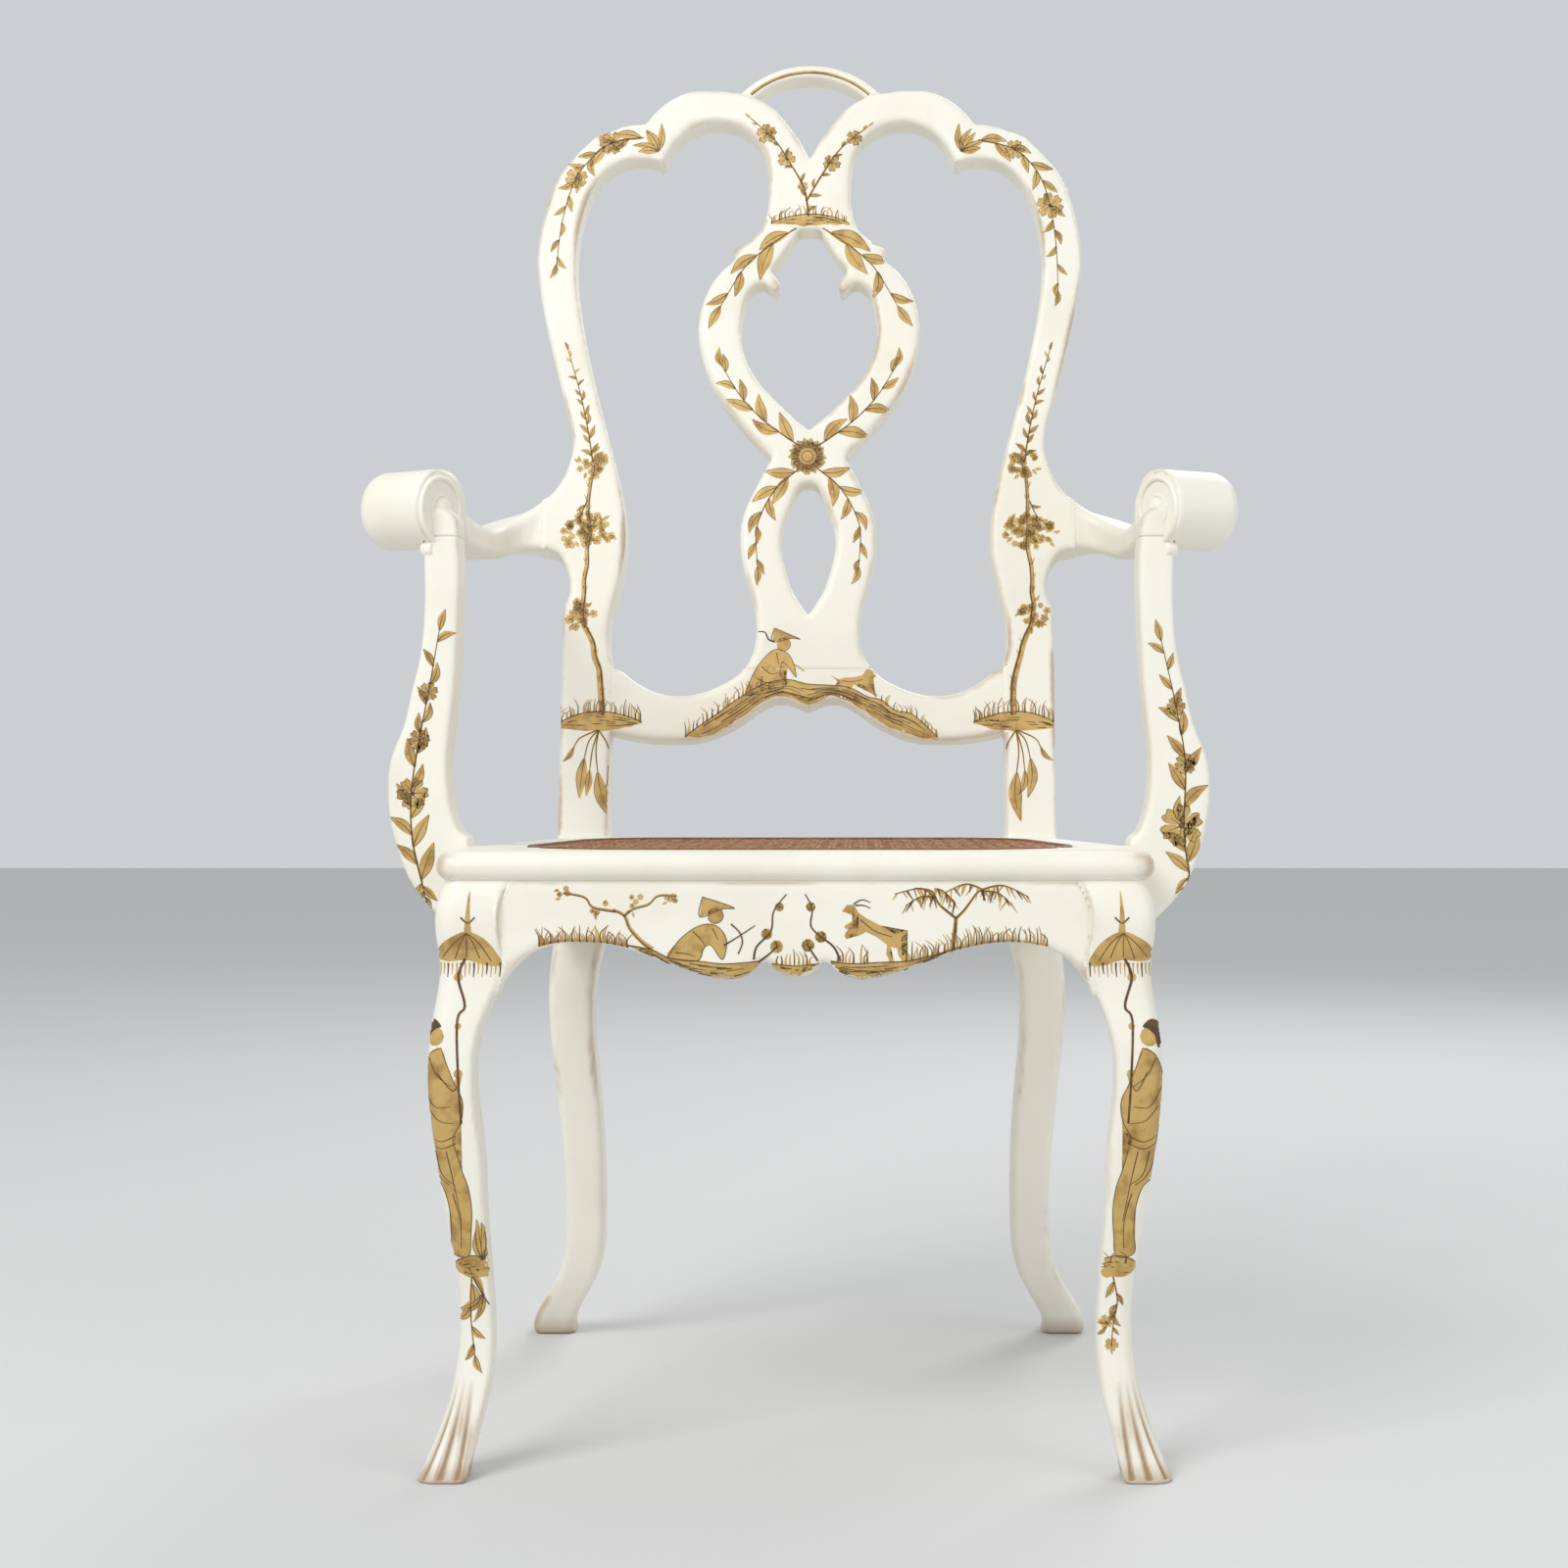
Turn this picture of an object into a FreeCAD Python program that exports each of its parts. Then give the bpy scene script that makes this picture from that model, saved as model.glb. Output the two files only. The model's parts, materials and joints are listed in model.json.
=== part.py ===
import FreeCAD, Part
import math
import os
from FreeCAD import Placement, Rotation, Vector

# Painted armchair with a pierced back, scrolled arms and a caned seat, in millimetres.
# +X is to the right seen from the front, +Y runs from front to back and +Z is up.
# While it is modelled, y = 0 is the front edge of the seat and z = 0 is the floor.
# Left and right in the names are as seen from the front.

# Seat frame, in plan
SEAT_HEIGHT = 440.0
SEAT_DEPTH = 442.0
SEAT_FRONT_HALF = 253.0
SEAT_BULGE_HALF = 257.0
SEAT_BULGE_BACK = 150.0
SEAT_CORNER_RADIUS = 12.0
SEAT_SIDE_RADIUS = 420.0
FRAME_THICK = 21.0
FRAME_NOSE_RADIUS = 10.0
FRAME_FRONT_WIDTH = 62.0
FRAME_SIDE_WIDTH = 48.0
FRAME_REAR_WIDTH = 56.0
FRAME_FRONT_JOINT = 100.0
CANE_FRONT_RADIUS = 95.0
CANE_REAR_RADIUS = 55.0
OVERHANG = 6.0

# Cane sheet, its groove and the reed that locks it
CANE_LAP = 9.0
CANE_THICK = 1.6
CANE_SINK = 2.0
CANE_PITCH = 21.0
CANE_HOLE = 12.5
CANE_BORDER = 4.0
REED_WIDTH = 5.0
REED_DEPTH = 8.0

# Rails under the seat
RAIL_THICK = 24.0
SIDE_RAIL_DEPTH = 57.0
REAR_RAIL_DEPTH = 50.0
APRON_DROP = 69.5
APRON_ARCH_DROP = 43.0
APRON_CUSP_DROP = 55.5
APRON_CUSP_HALF = 20.0
APRON_LOBE_HALF = 48.0
APRON_ARCH_HALF = 146.0
SIDE_ARCH_LENGTH = 38.0
SIDE_ARCH_RISE = 14.0

# Front legs: square at the top, curved like a bow below
LEG_BLOCK = 46.0
LEG_NOSE_RADIUS = 13.0
LEG_EDGE_RADIUS = 4.0
LEG_JOINT_RADIUS = 1.5
FOOT_FLARE = 18.0
FOOT_WIDTH = 35.5
ANKLE_HEIGHT = 118.0
ANKLE_FLARE = -8.5
ANKLE_WIDTH = 24.5
KNEE_DROP = 134.0
KNEE_FLARE = 11.5
KNEE_WIDTH = 33.5

# Rear posts: leg and back upright in one piece
POST_INNER = 171.0
POST_WIDTH = 43.0
POST_DEPTH = 46.0
POST_EDGE_RADIUS = 5.0
POST_TOP_THICK = 28.0
REAR_KNEE_OUTER = 221.0
REAR_KNEE_DROP = 104.0
REAR_ANKLE_OUTER = 208.5
REAR_ANKLE_HEIGHT = 122.0
REAR_ANKLE_WIDTH = 33.0
REAR_FOOT_OUTER = 243.0
REAR_FOOT_WIDTH = 36.0
REAR_FOOT_SETBACK = 74.0

# Back, drawn on its leaning front plane as half width and height above the seat
RAKE = 11.0
BACK_THICK = 28.0
BACK_ROUND = 4.0
BACK_HALF = 244.0
BACK_WIDEST = 530.0
WING_HALF = 232.0
WING_FOOT = 257.0
WING_TOP = 303.0
CREST_TOP = 690.0
CREST_NOTCH_HALF = 149.0
CREST_NOTCH = 656.0
CREST_CUSP_HALF = 132.0
CREST_CUSP = 618.0
CREST_DIP = 623.0
LOBE_TOP = 658.0
SPUR_HALF = 69.0
SPUR = 538.0
SPUR_THICK = 11.0
LOOP_HALF = 99.0
LOOP_LEVEL = 460.0
WAIST_HALF = 32.0
WAIST = 341.0
VASE_HALF = 60.0
VASE_LEVEL = 268.0
NECK_HALF = 45.0
NECK = 180.0
OPENING_FOOT = 126.0
SPLAT_TOP_JOINT = 566.0
SPLAT_FOOT_JOINT = 150.0
HEART_HALF = 61.0
HEART_TOP = 555.0
HEART_FOOT = 366.0
DROP_HALF = 24.0
DROP_TOP = 318.0
DROP_FOOT = 198.0
SHOE_EDGE = 86.0
SHOE_END = 94.0
SHOE_PEAK = 122.0
SHOE_POINT = 114.0
ARCH_RADIUS = 86.0
ARCH_RISE = 25.0
ARCH_BAND = 12.5
ARCH_SETBACK = 3.0
ARCH_ROUND = 4.0

# Arm posts and arms
ARM_POST_FRONT = 116.0
ARM_POST_DEPTH = 38.0
ARM_POST_FOOT = 368.0
ARM_POST_TOP = 672.0
ARM_POST_BOW = 307.0
ARM_POST_NECK = 254.5
ARM_POST_NECK_WIDTH = 25.5
ARM_POST_LIP = 9.0
ARM_POST_ROUND = 4.0
ARM_TOP = 723.0
ARM_DIP = 689.0
ARM_HEIGHT = 26.0
ARM_WIDTH = 31.0
ARM_RUN_HALF = 281.0
SCROLL_HALF = 294.0
SCROLL_BACK = 142.0
SCROLL_RADIUS = 29.5
SCROLL_WIDTH = 61.0
SCROLL_SPLAY = 30.0
SCROLL_END_ROUND = 13.0
VOLUTE_GROOVE = 3.0
VOLUTE_DEPTH = 3.0
TONGUE_RISE = 22.0

# Joinery
TENON_THICK = 10.0
TENON_LENGTH = 24.0
TENON_INSET = 8.0
TENON_GAP = 0.2
DOWEL_RADIUS = 4.0
DOWEL_LENGTH = 36.0
BLOCK_FRONT_LEG = 95.0
BLOCK_REAR_LEG = 80.0
BLOCK_THICK = 24.0
SCREW_RADIUS = 2.2
SCREW_HEAD_RADIUS = 4.4
SCREW_HEAD = 3.2
POST_SCREW_LENGTH = 44.0
BLOCK_SCREW_LENGTH = 28.0

# Places worked out from the sizes above
RAIL_TOP = SEAT_HEIGHT - FRAME_THICK
LEG_OUTER = SEAT_FRONT_HALF - OVERHANG
POST_OUTER = POST_INNER + POST_WIDTH
POST_FRONT = SEAT_DEPTH - POST_DEPTH
REACH = 2000.0
UP = Vector(0, 0, 1)
BACK_PLANE = Placement(Vector(0, POST_FRONT, SEAT_HEIGHT), Rotation(Vector(1, 0, 0), 90 - RAKE))


# Drawing helpers

def line(start, end):
    """Straight edge between two points."""
    return Part.LineSegment(Vector(start), Vector(end)).toShape()


def curve(points, start=None, end=None):
    """One smooth edge through points, with the directions it leaves and arrives in where they are given."""
    spline = Part.BSplineCurve()
    ends = {}
    if start is not None and end is not None:
        ends = {"InitialTangent": Vector(start), "FinalTangent": Vector(end)}
    spline.interpolate(Points=[Vector(p) for p in points], **ends)
    return spline.toShape()


def flat(points):
    """Points of the back's plane, given as (half width, height), as vectors."""
    return [Vector(x, y, 0) for x, y in points]


def wire(edges):
    """Closed wire from edges in any order."""
    return Part.Wire(Part.__sortEdges__(edges))


def slab(edges, travel):
    """Solid swept from the closed outline of edges along travel."""
    return Part.Face(wire(edges)).extrude(Vector(travel))


def box(low, high):
    """Block between two opposite corners."""
    low, high = Vector(low), Vector(high)
    size = high - low
    return Part.makeBox(size.x, size.y, size.z, low)


def rod(radius, start, end):
    """Round bar between two points."""
    start, end = Vector(start), Vector(end)
    return Part.makeCylinder(radius, (end - start).Length, start, end - start)


def mirrored(shape):
    """The same shape on the other side of the chair."""
    return shape.mirror(Vector(0, 0, 0), Vector(1, 0, 0))


def both(shape):
    """A shape and its mirror image, as one group."""
    return Part.makeCompound([shape, mirrored(shape)])


def largest(shape):
    """The biggest solid of a shape."""
    return max(shape.Solids, key=lambda solid: solid.Volume)


def merged(first, *others):
    """One solid from pieces that share faces."""
    whole = first
    for other in others:
        whole = whole.fuse(other)
    return whole.removeSplitter()


def rounded_polygon(corners):
    """Closed outline through corners given as (x, y, radius), each rounded by its radius."""
    count = len(corners)
    edges = []
    joints = []
    for index, (x, y, radius) in enumerate(corners):
        here = Vector(x, y, 0)
        before = Vector(*corners[index - 1][:2], 0) - here
        after = Vector(*corners[(index + 1) % count][:2], 0) - here
        half_turn = before.getAngle(after) / 2
        before.normalize()
        after.normalize()
        reach = radius / math.tan(half_turn)
        inward = (before + after).normalize()
        middle = here + inward * (radius / math.sin(half_turn) - radius)
        joints.append((here + before * reach, middle, here + after * reach))
    for index, (enter, middle, leave) in enumerate(joints):
        edges.append(Part.Arc(enter, middle, leave).toShape())
        edges.append(line(leave, joints[(index + 1) % count][0]))
    return Part.Wire(edges)


def inset(corners, distance):
    """Rounded corners moved inwards by a distance, or outwards where it is negative."""
    count = len(corners)
    moved = []
    for index, (x, y, radius) in enumerate(corners):
        here = Vector(x, y, 0)
        enter = (here - Vector(*corners[index - 1][:2], 0)).normalize()
        leave = (Vector(*corners[(index + 1) % count][:2], 0) - here).normalize()
        left_enter = UP.cross(enter)
        left_leave = UP.cross(leave)
        shift = (left_enter + left_leave) * (distance / (1 + left_enter.dot(left_leave)))
        moved.append((x + shift.x, y + shift.y, max(radius - distance, 0.5)))
    return moved


def plate(outline, low, high):
    """Solid between two heights over a flat outline."""
    return Part.Face(outline).extrude(UP * (high - low)).translated(UP * low)


def at_height(outline, height):
    """A flat outline lifted to a height."""
    return outline.translated(UP * height)


# Seat frame, cane and reed

def seat_corners():
    """Corners of the outer edge of the caned frame, anticlockwise from above."""
    half = [
        (SEAT_FRONT_HALF, 0.0, SEAT_CORNER_RADIUS),
        (SEAT_BULGE_HALF, SEAT_BULGE_BACK, SEAT_SIDE_RADIUS),
        (POST_OUTER, SEAT_DEPTH, SEAT_CORNER_RADIUS),
    ]
    return half + [(-x, y, r) for x, y, r in reversed(half)]


def cane_corners(margin=0.0):
    """Corners of the opening in the caned frame, moved outwards by a margin."""
    front = (SEAT_FRONT_HALF - FRAME_SIDE_WIDTH, FRAME_FRONT_WIDTH, CANE_FRONT_RADIUS)
    rear = (POST_OUTER - FRAME_SIDE_WIDTH, SEAT_DEPTH - FRAME_REAR_WIDTH, CANE_REAR_RADIUS)
    half = [front, rear]
    return inset(half + [(-x, y, r) for x, y, r in reversed(half)], -margin)


def cane_plate(margin, low, high):
    """Solid between two heights over the opening of the frame, grown by a margin."""
    return plate(rounded_polygon(cane_corners(margin)), low, high)


def seat_frame():
    """Front, right and rear members of the caned frame, split at their joints."""
    whole = plate(rounded_polygon(seat_corners()), RAIL_TOP, SEAT_HEIGHT)
    rims = [e for e in whole.Edges if abs(e.BoundBox.ZLength) < 1e-6]
    whole = whole.makeFillet(FRAME_NOSE_RADIUS, rims)
    whole = whole.cut(cane_plate(0, RAIL_TOP - 1, SEAT_HEIGHT + 1))
    whole = whole.cut(cane_plate(CANE_LAP + REED_WIDTH, SEAT_HEIGHT - CANE_SINK, SEAT_HEIGHT + 1))
    groove = cane_plate(CANE_LAP + REED_WIDTH, SEAT_HEIGHT - REED_DEPTH, SEAT_HEIGHT)
    groove = groove.cut(cane_plate(CANE_LAP, SEAT_HEIGHT - REED_DEPTH - 1, SEAT_HEIGHT + 1))
    whole = whole.cut(groove)
    beside = box((POST_INNER, POST_FRONT, 0), (REACH, REACH, REACH))
    whole = whole.cut(beside).cut(mirrored(beside))
    ahead = box((-REACH, -REACH, 0), (REACH, FRAME_FRONT_JOINT, REACH))
    front = whole.common(ahead)
    behind = whole.cut(ahead)
    rear = behind.common(box((-POST_INNER, 0, 0), (POST_INNER, REACH, REACH)))
    right = behind.common(box((POST_INNER, 0, 0), (REACH, REACH, REACH)))
    return largest(front), largest(right), largest(rear)


def cane_sheet():
    """Woven cane as one sheet with its open mesh."""
    low = SEAT_HEIGHT - CANE_SINK
    sheet = cane_plate(CANE_LAP, low, low + CANE_THICK)
    clear = Part.Face(rounded_polygon(cane_corners(-CANE_BORDER)))
    bounds = clear.BoundBox
    across = int(bounds.XLength / CANE_PITCH)
    along = int(bounds.YLength / CANE_PITCH)
    half = CANE_HOLE / 2
    holes = []
    for column in range(across):
        for row in range(along):
            x = (column - (across - 1) / 2) * CANE_PITCH
            y = bounds.Center.y + (row - (along - 1) / 2) * CANE_PITCH
            corners = [Vector(x + i * half, y + j * half, 0) for i in (-1, 1) for j in (-1, 1)]
            if all(clear.isInside(corner, 1e-6, True) for corner in corners):
                holes.append(box((x - half, y - half, low - 1), (x + half, y + half, SEAT_HEIGHT + 1)))
    return largest(sheet.cut(Part.makeCompound(holes)))


def cane_reed():
    """Round-topped reed pressed into the groove over the edge of the cane."""
    top = SEAT_HEIGHT + CANE_THICK / 2
    ring = cane_plate(CANE_LAP + REED_WIDTH, SEAT_HEIGHT - REED_DEPTH, top)
    ring = ring.cut(cane_plate(CANE_LAP, SEAT_HEIGHT - REED_DEPTH - 1, top + 1))
    upper = [e for e in ring.Edges if e.BoundBox.ZMin > top - 1e-6]
    return ring.makeFillet(REED_WIDTH / 4, upper)


# Legs

def front_leg():
    """Right front leg: a block at the rail, a knee, an ankle and a foot that turns out to the corner."""
    knee = RAIL_TOP - KNEE_DROP
    shin = (knee + ANKLE_HEIGHT) / 2 - 15
    shin_flare = (KNEE_FLARE + ANKLE_FLARE) / 2 - 1
    shin_width = (KNEE_WIDTH + ANKLE_WIDTH) / 2
    stations = [
        (0.0, FOOT_FLARE, FOOT_WIDTH, FOOT_FLARE),
        (40.0, FOOT_FLARE - 16, FOOT_WIDTH - 7, FOOT_FLARE - 16),
        (72.0, ANKLE_FLARE + 2.5, ANKLE_WIDTH + 2, ANKLE_FLARE + 2.5),
        (ANKLE_HEIGHT, ANKLE_FLARE, ANKLE_WIDTH, ANKLE_FLARE),
        (shin, shin_flare, shin_width, shin_flare),
        (knee - 52, KNEE_FLARE - 4.5, KNEE_WIDTH, KNEE_FLARE - 4.5),
        (knee, KNEE_FLARE, KNEE_WIDTH, KNEE_FLARE - 1),
        (knee + 36, KNEE_FLARE - 2, KNEE_WIDTH + 4, KNEE_FLARE - 5),
        (RAIL_TOP - APRON_DROP + 10, KNEE_FLARE - 6.5, LEG_BLOCK - 0.5, KNEE_FLARE - 10.5),
        (RAIL_TOP, 0.0, LEG_BLOCK, 0.0),
    ]
    sections = []
    for height, flare, width, face in stations:
        inner = LEG_OUTER + flare - width
        back = OVERHANG - flare + width
        round_off = LEG_JOINT_RADIUS if height > knee + 40 else LEG_EDGE_RADIUS
        corners = [
            (inner, OVERHANG - face, round_off),
            (LEG_OUTER + flare, OVERHANG - flare, LEG_NOSE_RADIUS),
            (LEG_OUTER + face, back, round_off),
            (inner, back, round_off),
        ]
        sections.append(at_height(rounded_polygon(corners), height))
    return Part.makeLoft(sections, True, False)


def rear_leg():
    """Right rear post below the seat: it bows inwards and back, then kicks out at the foot."""
    knee = RAIL_TOP - REAR_KNEE_DROP
    block = RAIL_TOP - SIDE_RAIL_DEPTH
    calf = (knee + REAR_ANKLE_HEIGHT) / 2
    stations = [
        (0.0, REAR_FOOT_OUTER, REAR_FOOT_WIDTH, REAR_FOOT_SETBACK, 38.0),
        (20.0, REAR_FOOT_OUTER - 3, REAR_FOOT_WIDTH, REAR_FOOT_SETBACK - 12, 38.0),
        (60.0, REAR_ANKLE_OUTER + 9, REAR_ANKLE_WIDTH + 1, REAR_FOOT_SETBACK - 34, 37.0),
        (REAR_ANKLE_HEIGHT, REAR_ANKLE_OUTER, REAR_ANKLE_WIDTH, REAR_FOOT_SETBACK - 54, 36.0),
        (calf, REAR_ANKLE_OUTER + 6, REAR_ANKLE_WIDTH + 3, 5.0, POST_DEPTH - 7),
        (knee, REAR_KNEE_OUTER, POST_WIDTH - 4, -2.0, POST_DEPTH - 3),
        (block, POST_OUTER + 2, POST_WIDTH, 0.0, POST_DEPTH),
        (block + 20, POST_OUTER, POST_WIDTH, 0.0, POST_DEPTH),
    ]
    sections = []
    for height, outer, width, setback, depth in stations:
        front = POST_FRONT + setback
        corners = [
            (outer - width, front, POST_EDGE_RADIUS),
            (outer, front, POST_EDGE_RADIUS),
            (outer, front + depth, POST_EDGE_RADIUS),
            (outer - width, front + depth, POST_EDGE_RADIUS),
        ]
        sections.append(at_height(rounded_polygon(corners), height))
    upper = Part.Face(sections[-1]).extrude(UP * (SEAT_HEIGHT - block - 20))
    return Part.makeLoft(sections, True, False), upper


# Back, drawn flat: x is the half width, y the height above the seat, z = 0 the front face

def back_contour():
    """Right half of the outer edge of the back, from the point of the shoe to the dip of the crest."""
    hip = WING_FOOT - 52
    shoe = curve(flat([
        (0, SHOE_POINT), (10, SHOE_PEAK - 3), (19, SHOE_PEAK), (41, SHOE_PEAK - 7), (57, SHOE_EDGE + 17),
        (74, SHOE_EDGE + 8), (91, SHOE_EDGE + 2), (112, SHOE_EDGE), (137, SHOE_EDGE + 1), (POST_INNER, SHOE_END),
    ]))
    hollow = curve(
        flat([(POST_OUTER, hip), (208, hip + 23), (215, hip + 43), (WING_HALF, WING_FOOT)]),
        Vector(-0.6, 0.8, 0), Vector(1, 0.05, 0),
    )
    side = curve(
        flat([
            (WING_HALF, WING_TOP), (216, WING_TOP + 20), (208.5, WING_TOP + 46), (216, 391), (229, 441),
            (240, 492), (BACK_HALF, BACK_WIDEST), (BACK_HALF - 7, BACK_WIDEST + 46), (223, CREST_NOTCH - 44),
            (204, CREST_NOTCH - 22), (182, CREST_NOTCH - 7), (165, CREST_NOTCH - 2), (CREST_NOTCH_HALF, CREST_NOTCH),
        ]),
        Vector(-0.85, 0.55, 0), Vector(-1, 0.05, 0),
    )
    lobe = curve(
        flat([
            (CREST_NOTCH_HALF, CREST_NOTCH), (137, CREST_NOTCH + 16), (114, CREST_TOP - 3), (90, CREST_TOP),
            (62, CREST_TOP - 4), (34, CREST_TOP - 17), (16, CREST_DIP + 28), (0, CREST_DIP),
        ]),
        Vector(-0.45, 0.9, 0), Vector(-0.45, -0.9, 0),
    )
    straight = [
        ((POST_INNER, SHOE_END), (POST_INNER, 0)),
        ((POST_INNER, 0), (POST_OUTER, 0)),
        ((POST_OUTER, 0), (POST_OUTER, hip)),
        ((WING_HALF, WING_FOOT), (WING_HALF, WING_TOP)),
    ]
    return [shoe, hollow, side, lobe] + [line(Vector(*a, 0), Vector(*b, 0)) for a, b in straight]


def side_opening():
    """Edge of the tall opening between the right upright and the splat."""
    foot = (POST_INNER + 3, NECK)
    upright = curve(
        flat([
            foot, (167, 221), (160, 262), (164.5, 310), (178, 364), (192, 418), (203.5, 473), (209, BACK_WIDEST - 5),
            (202, 576), (186, CREST_CUSP - 10), (162, CREST_CUSP + 4), (CREST_CUSP_HALF, CREST_CUSP),
        ]),
        Vector(0, 1, 0), Vector(-0.85, -0.5, 0),
    )
    lobe = curve(
        flat([
            (CREST_CUSP_HALF, CREST_CUSP), (111, LOBE_TOP - 9), (87, LOBE_TOP), (60, LOBE_TOP - 7), (42, LOBE_TOP - 27),
            (37, LOBE_TOP - 59), (37, LOBE_TOP - 78), (39.5, SPUR + 28), (45, SPUR + 15), (55.5, SPUR + 5), (SPUR_HALF, SPUR),
        ]),
        Vector(-0.4, 0.9, 0), Vector(0.98, -0.2, 0),
    )
    spur_end = line(Vector(SPUR_HALF, SPUR, 0), Vector(SPUR_HALF - 3, SPUR - SPUR_THICK, 0))
    loop = curve(
        flat([
            (SPUR_HALF - 3, SPUR - SPUR_THICK), (85, SPUR - 30), (LOOP_HALF - 4, LOOP_LEVEL + 26), (LOOP_HALF, LOOP_LEVEL),
            (LOOP_HALF - 5, LOOP_LEVEL - 30), (79, WAIST + 55), (54, WAIST + 23), (WAIST_HALF, WAIST),
        ]),
        Vector(0.8, -0.6, 0), Vector(-0.7, -0.7, 0),
    )
    strand = curve(
        flat([
            (WAIST_HALF, WAIST), (44, WAIST - 22), (VASE_HALF - 3, VASE_LEVEL + 22), (VASE_HALF, VASE_LEVEL),
            (54, VASE_LEVEL - 38), (NECK_HALF, NECK + 8), (55, OPENING_FOOT + 25), (79, OPENING_FOOT + 8),
            (108, OPENING_FOOT), (140, OPENING_FOOT + 7), (163, OPENING_FOOT + 24), foot,
        ]),
        Vector(0.6, -0.8, 0), Vector(0, 1, 0),
    )
    return [upright, lobe, spur_end, loop, strand]


def heart_opening():
    """Edge of the heart in the splat, with a curled tip on each side."""
    half = curve(
        flat([
            (10, HEART_TOP), (19, HEART_TOP - 18), (29, HEART_TOP - 32), (34, HEART_TOP - 39), (31.5, HEART_TOP - 44),
            (27.5, HEART_TOP - 48.5), (26, HEART_TOP - 54.5), (30, HEART_TOP - 59.5), (35, HEART_TOP - 56),
            (41, HEART_TOP - 51), (49.5, HEART_TOP - 54), (HEART_HALF - 3, HEART_TOP - 71), (HEART_HALF, HEART_TOP - 97),
            (HEART_HALF - 5, HEART_FOOT + 66), (46, HEART_FOOT + 47), (20, HEART_FOOT + 18), (0, HEART_FOOT),
        ]),
        Vector(0.3, -0.95, 0), Vector(-0.75, -0.66, 0),
    )
    return [half, mirrored(half), line(Vector(-10, HEART_TOP, 0), Vector(10, HEART_TOP, 0))]


def drop_opening():
    """Edge of the drop-shaped opening under the waist."""
    half = curve(
        flat([
            (0, DROP_TOP), (13, DROP_TOP - 14), (DROP_HALF - 2, DROP_TOP - 39), (DROP_HALF - 0.5, DROP_TOP - 61),
            (17, DROP_FOOT + 32), (0, DROP_FOOT),
        ]),
        Vector(1, 0, 0), Vector(-0.55, -0.83, 0),
    )
    return [half, mirrored(half)]


def back_board(thick):
    """The whole back as one flat board with its openings."""
    contour = back_contour()
    board = slab(contour + [mirrored(edge) for edge in contour], Vector(0, 0, -thick))
    right = side_opening()
    left = [mirrored(edge) for edge in right]
    for edges in (right, left, heart_opening(), drop_opening()):
        board = board.cut(slab(edges, Vector(0, 0, -thick - 2)).translated(UP))
    return board


def region(points):
    """Upright block over a polygon of the flat back, used to part it at the joints."""
    corners = [Vector(x, y, 100) for x, y in points]
    return Part.Face(Part.makePolygon(corners + corners[:1])).extrude(Vector(0, 0, -300))


def upright_region():
    """The part of the flat back that belongs to the right rear post."""
    return region([
        (POST_INNER, -REACH), (POST_INNER, NECK), (130, 300), (130, 400), (150, 560),
        (CREST_CUSP_HALF, CREST_CUSP), (CREST_NOTCH_HALF, CREST_NOTCH), (CREST_NOTCH_HALF, REACH),
        (REACH, REACH), (REACH, -REACH),
    ])


def eased(shape, radius, chosen):
    """A shape with its chosen front edges rounded, by a smaller radius where the full one does not fit."""
    def picked(edge):
        middle = edge.valueAt((edge.FirstParameter + edge.LastParameter) / 2)
        return abs(edge.BoundBox.ZLength) < 1e-5 and abs(middle.z) < 1e-5 and chosen(middle)

    edges = [edge for edge in shape.Edges if picked(edge)]
    for attempt in (radius, radius / 2):
        try:
            rounded = shape.makeFillet(attempt, edges)
        except Part.OCCError:
            continue
        if rounded.isValid() and len(rounded.Solids) == 1:
            return rounded
    return shape


def leaned(shape):
    """A flat piece of the back set in its place on the chair."""
    placed = shape.copy()
    placed.Placement = BACK_PLANE.multiply(placed.Placement)
    return placed


def post_thickness(height):
    """Thickness of a rear post at a height of the back: deepest at the seat, thinner to the top."""
    lean = math.radians(RAKE)
    seat_level = POST_DEPTH * math.sin(lean)
    seat_thick = POST_DEPTH * math.cos(lean)
    fall = (seat_thick - POST_TOP_THICK) / (CREST_NOTCH - seat_level)
    return seat_thick - fall * (height - seat_level)


def upright():
    """Right rear post above the seat, flat, with its wing for the arm."""
    piece = largest(back_board(POST_DEPTH + 20).common(upright_region()))
    low, high = -200.0, CREST_TOP + 200
    profile = [
        Vector(0, low, -post_thickness(low)), Vector(0, high, -post_thickness(high)),
        Vector(0, high, -300), Vector(0, low, -300),
    ]
    behind = Part.Face(Part.makePolygon(profile + profile[:1])).extrude(Vector(REACH, 0, 0))
    return largest(piece.cut(behind))


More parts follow.
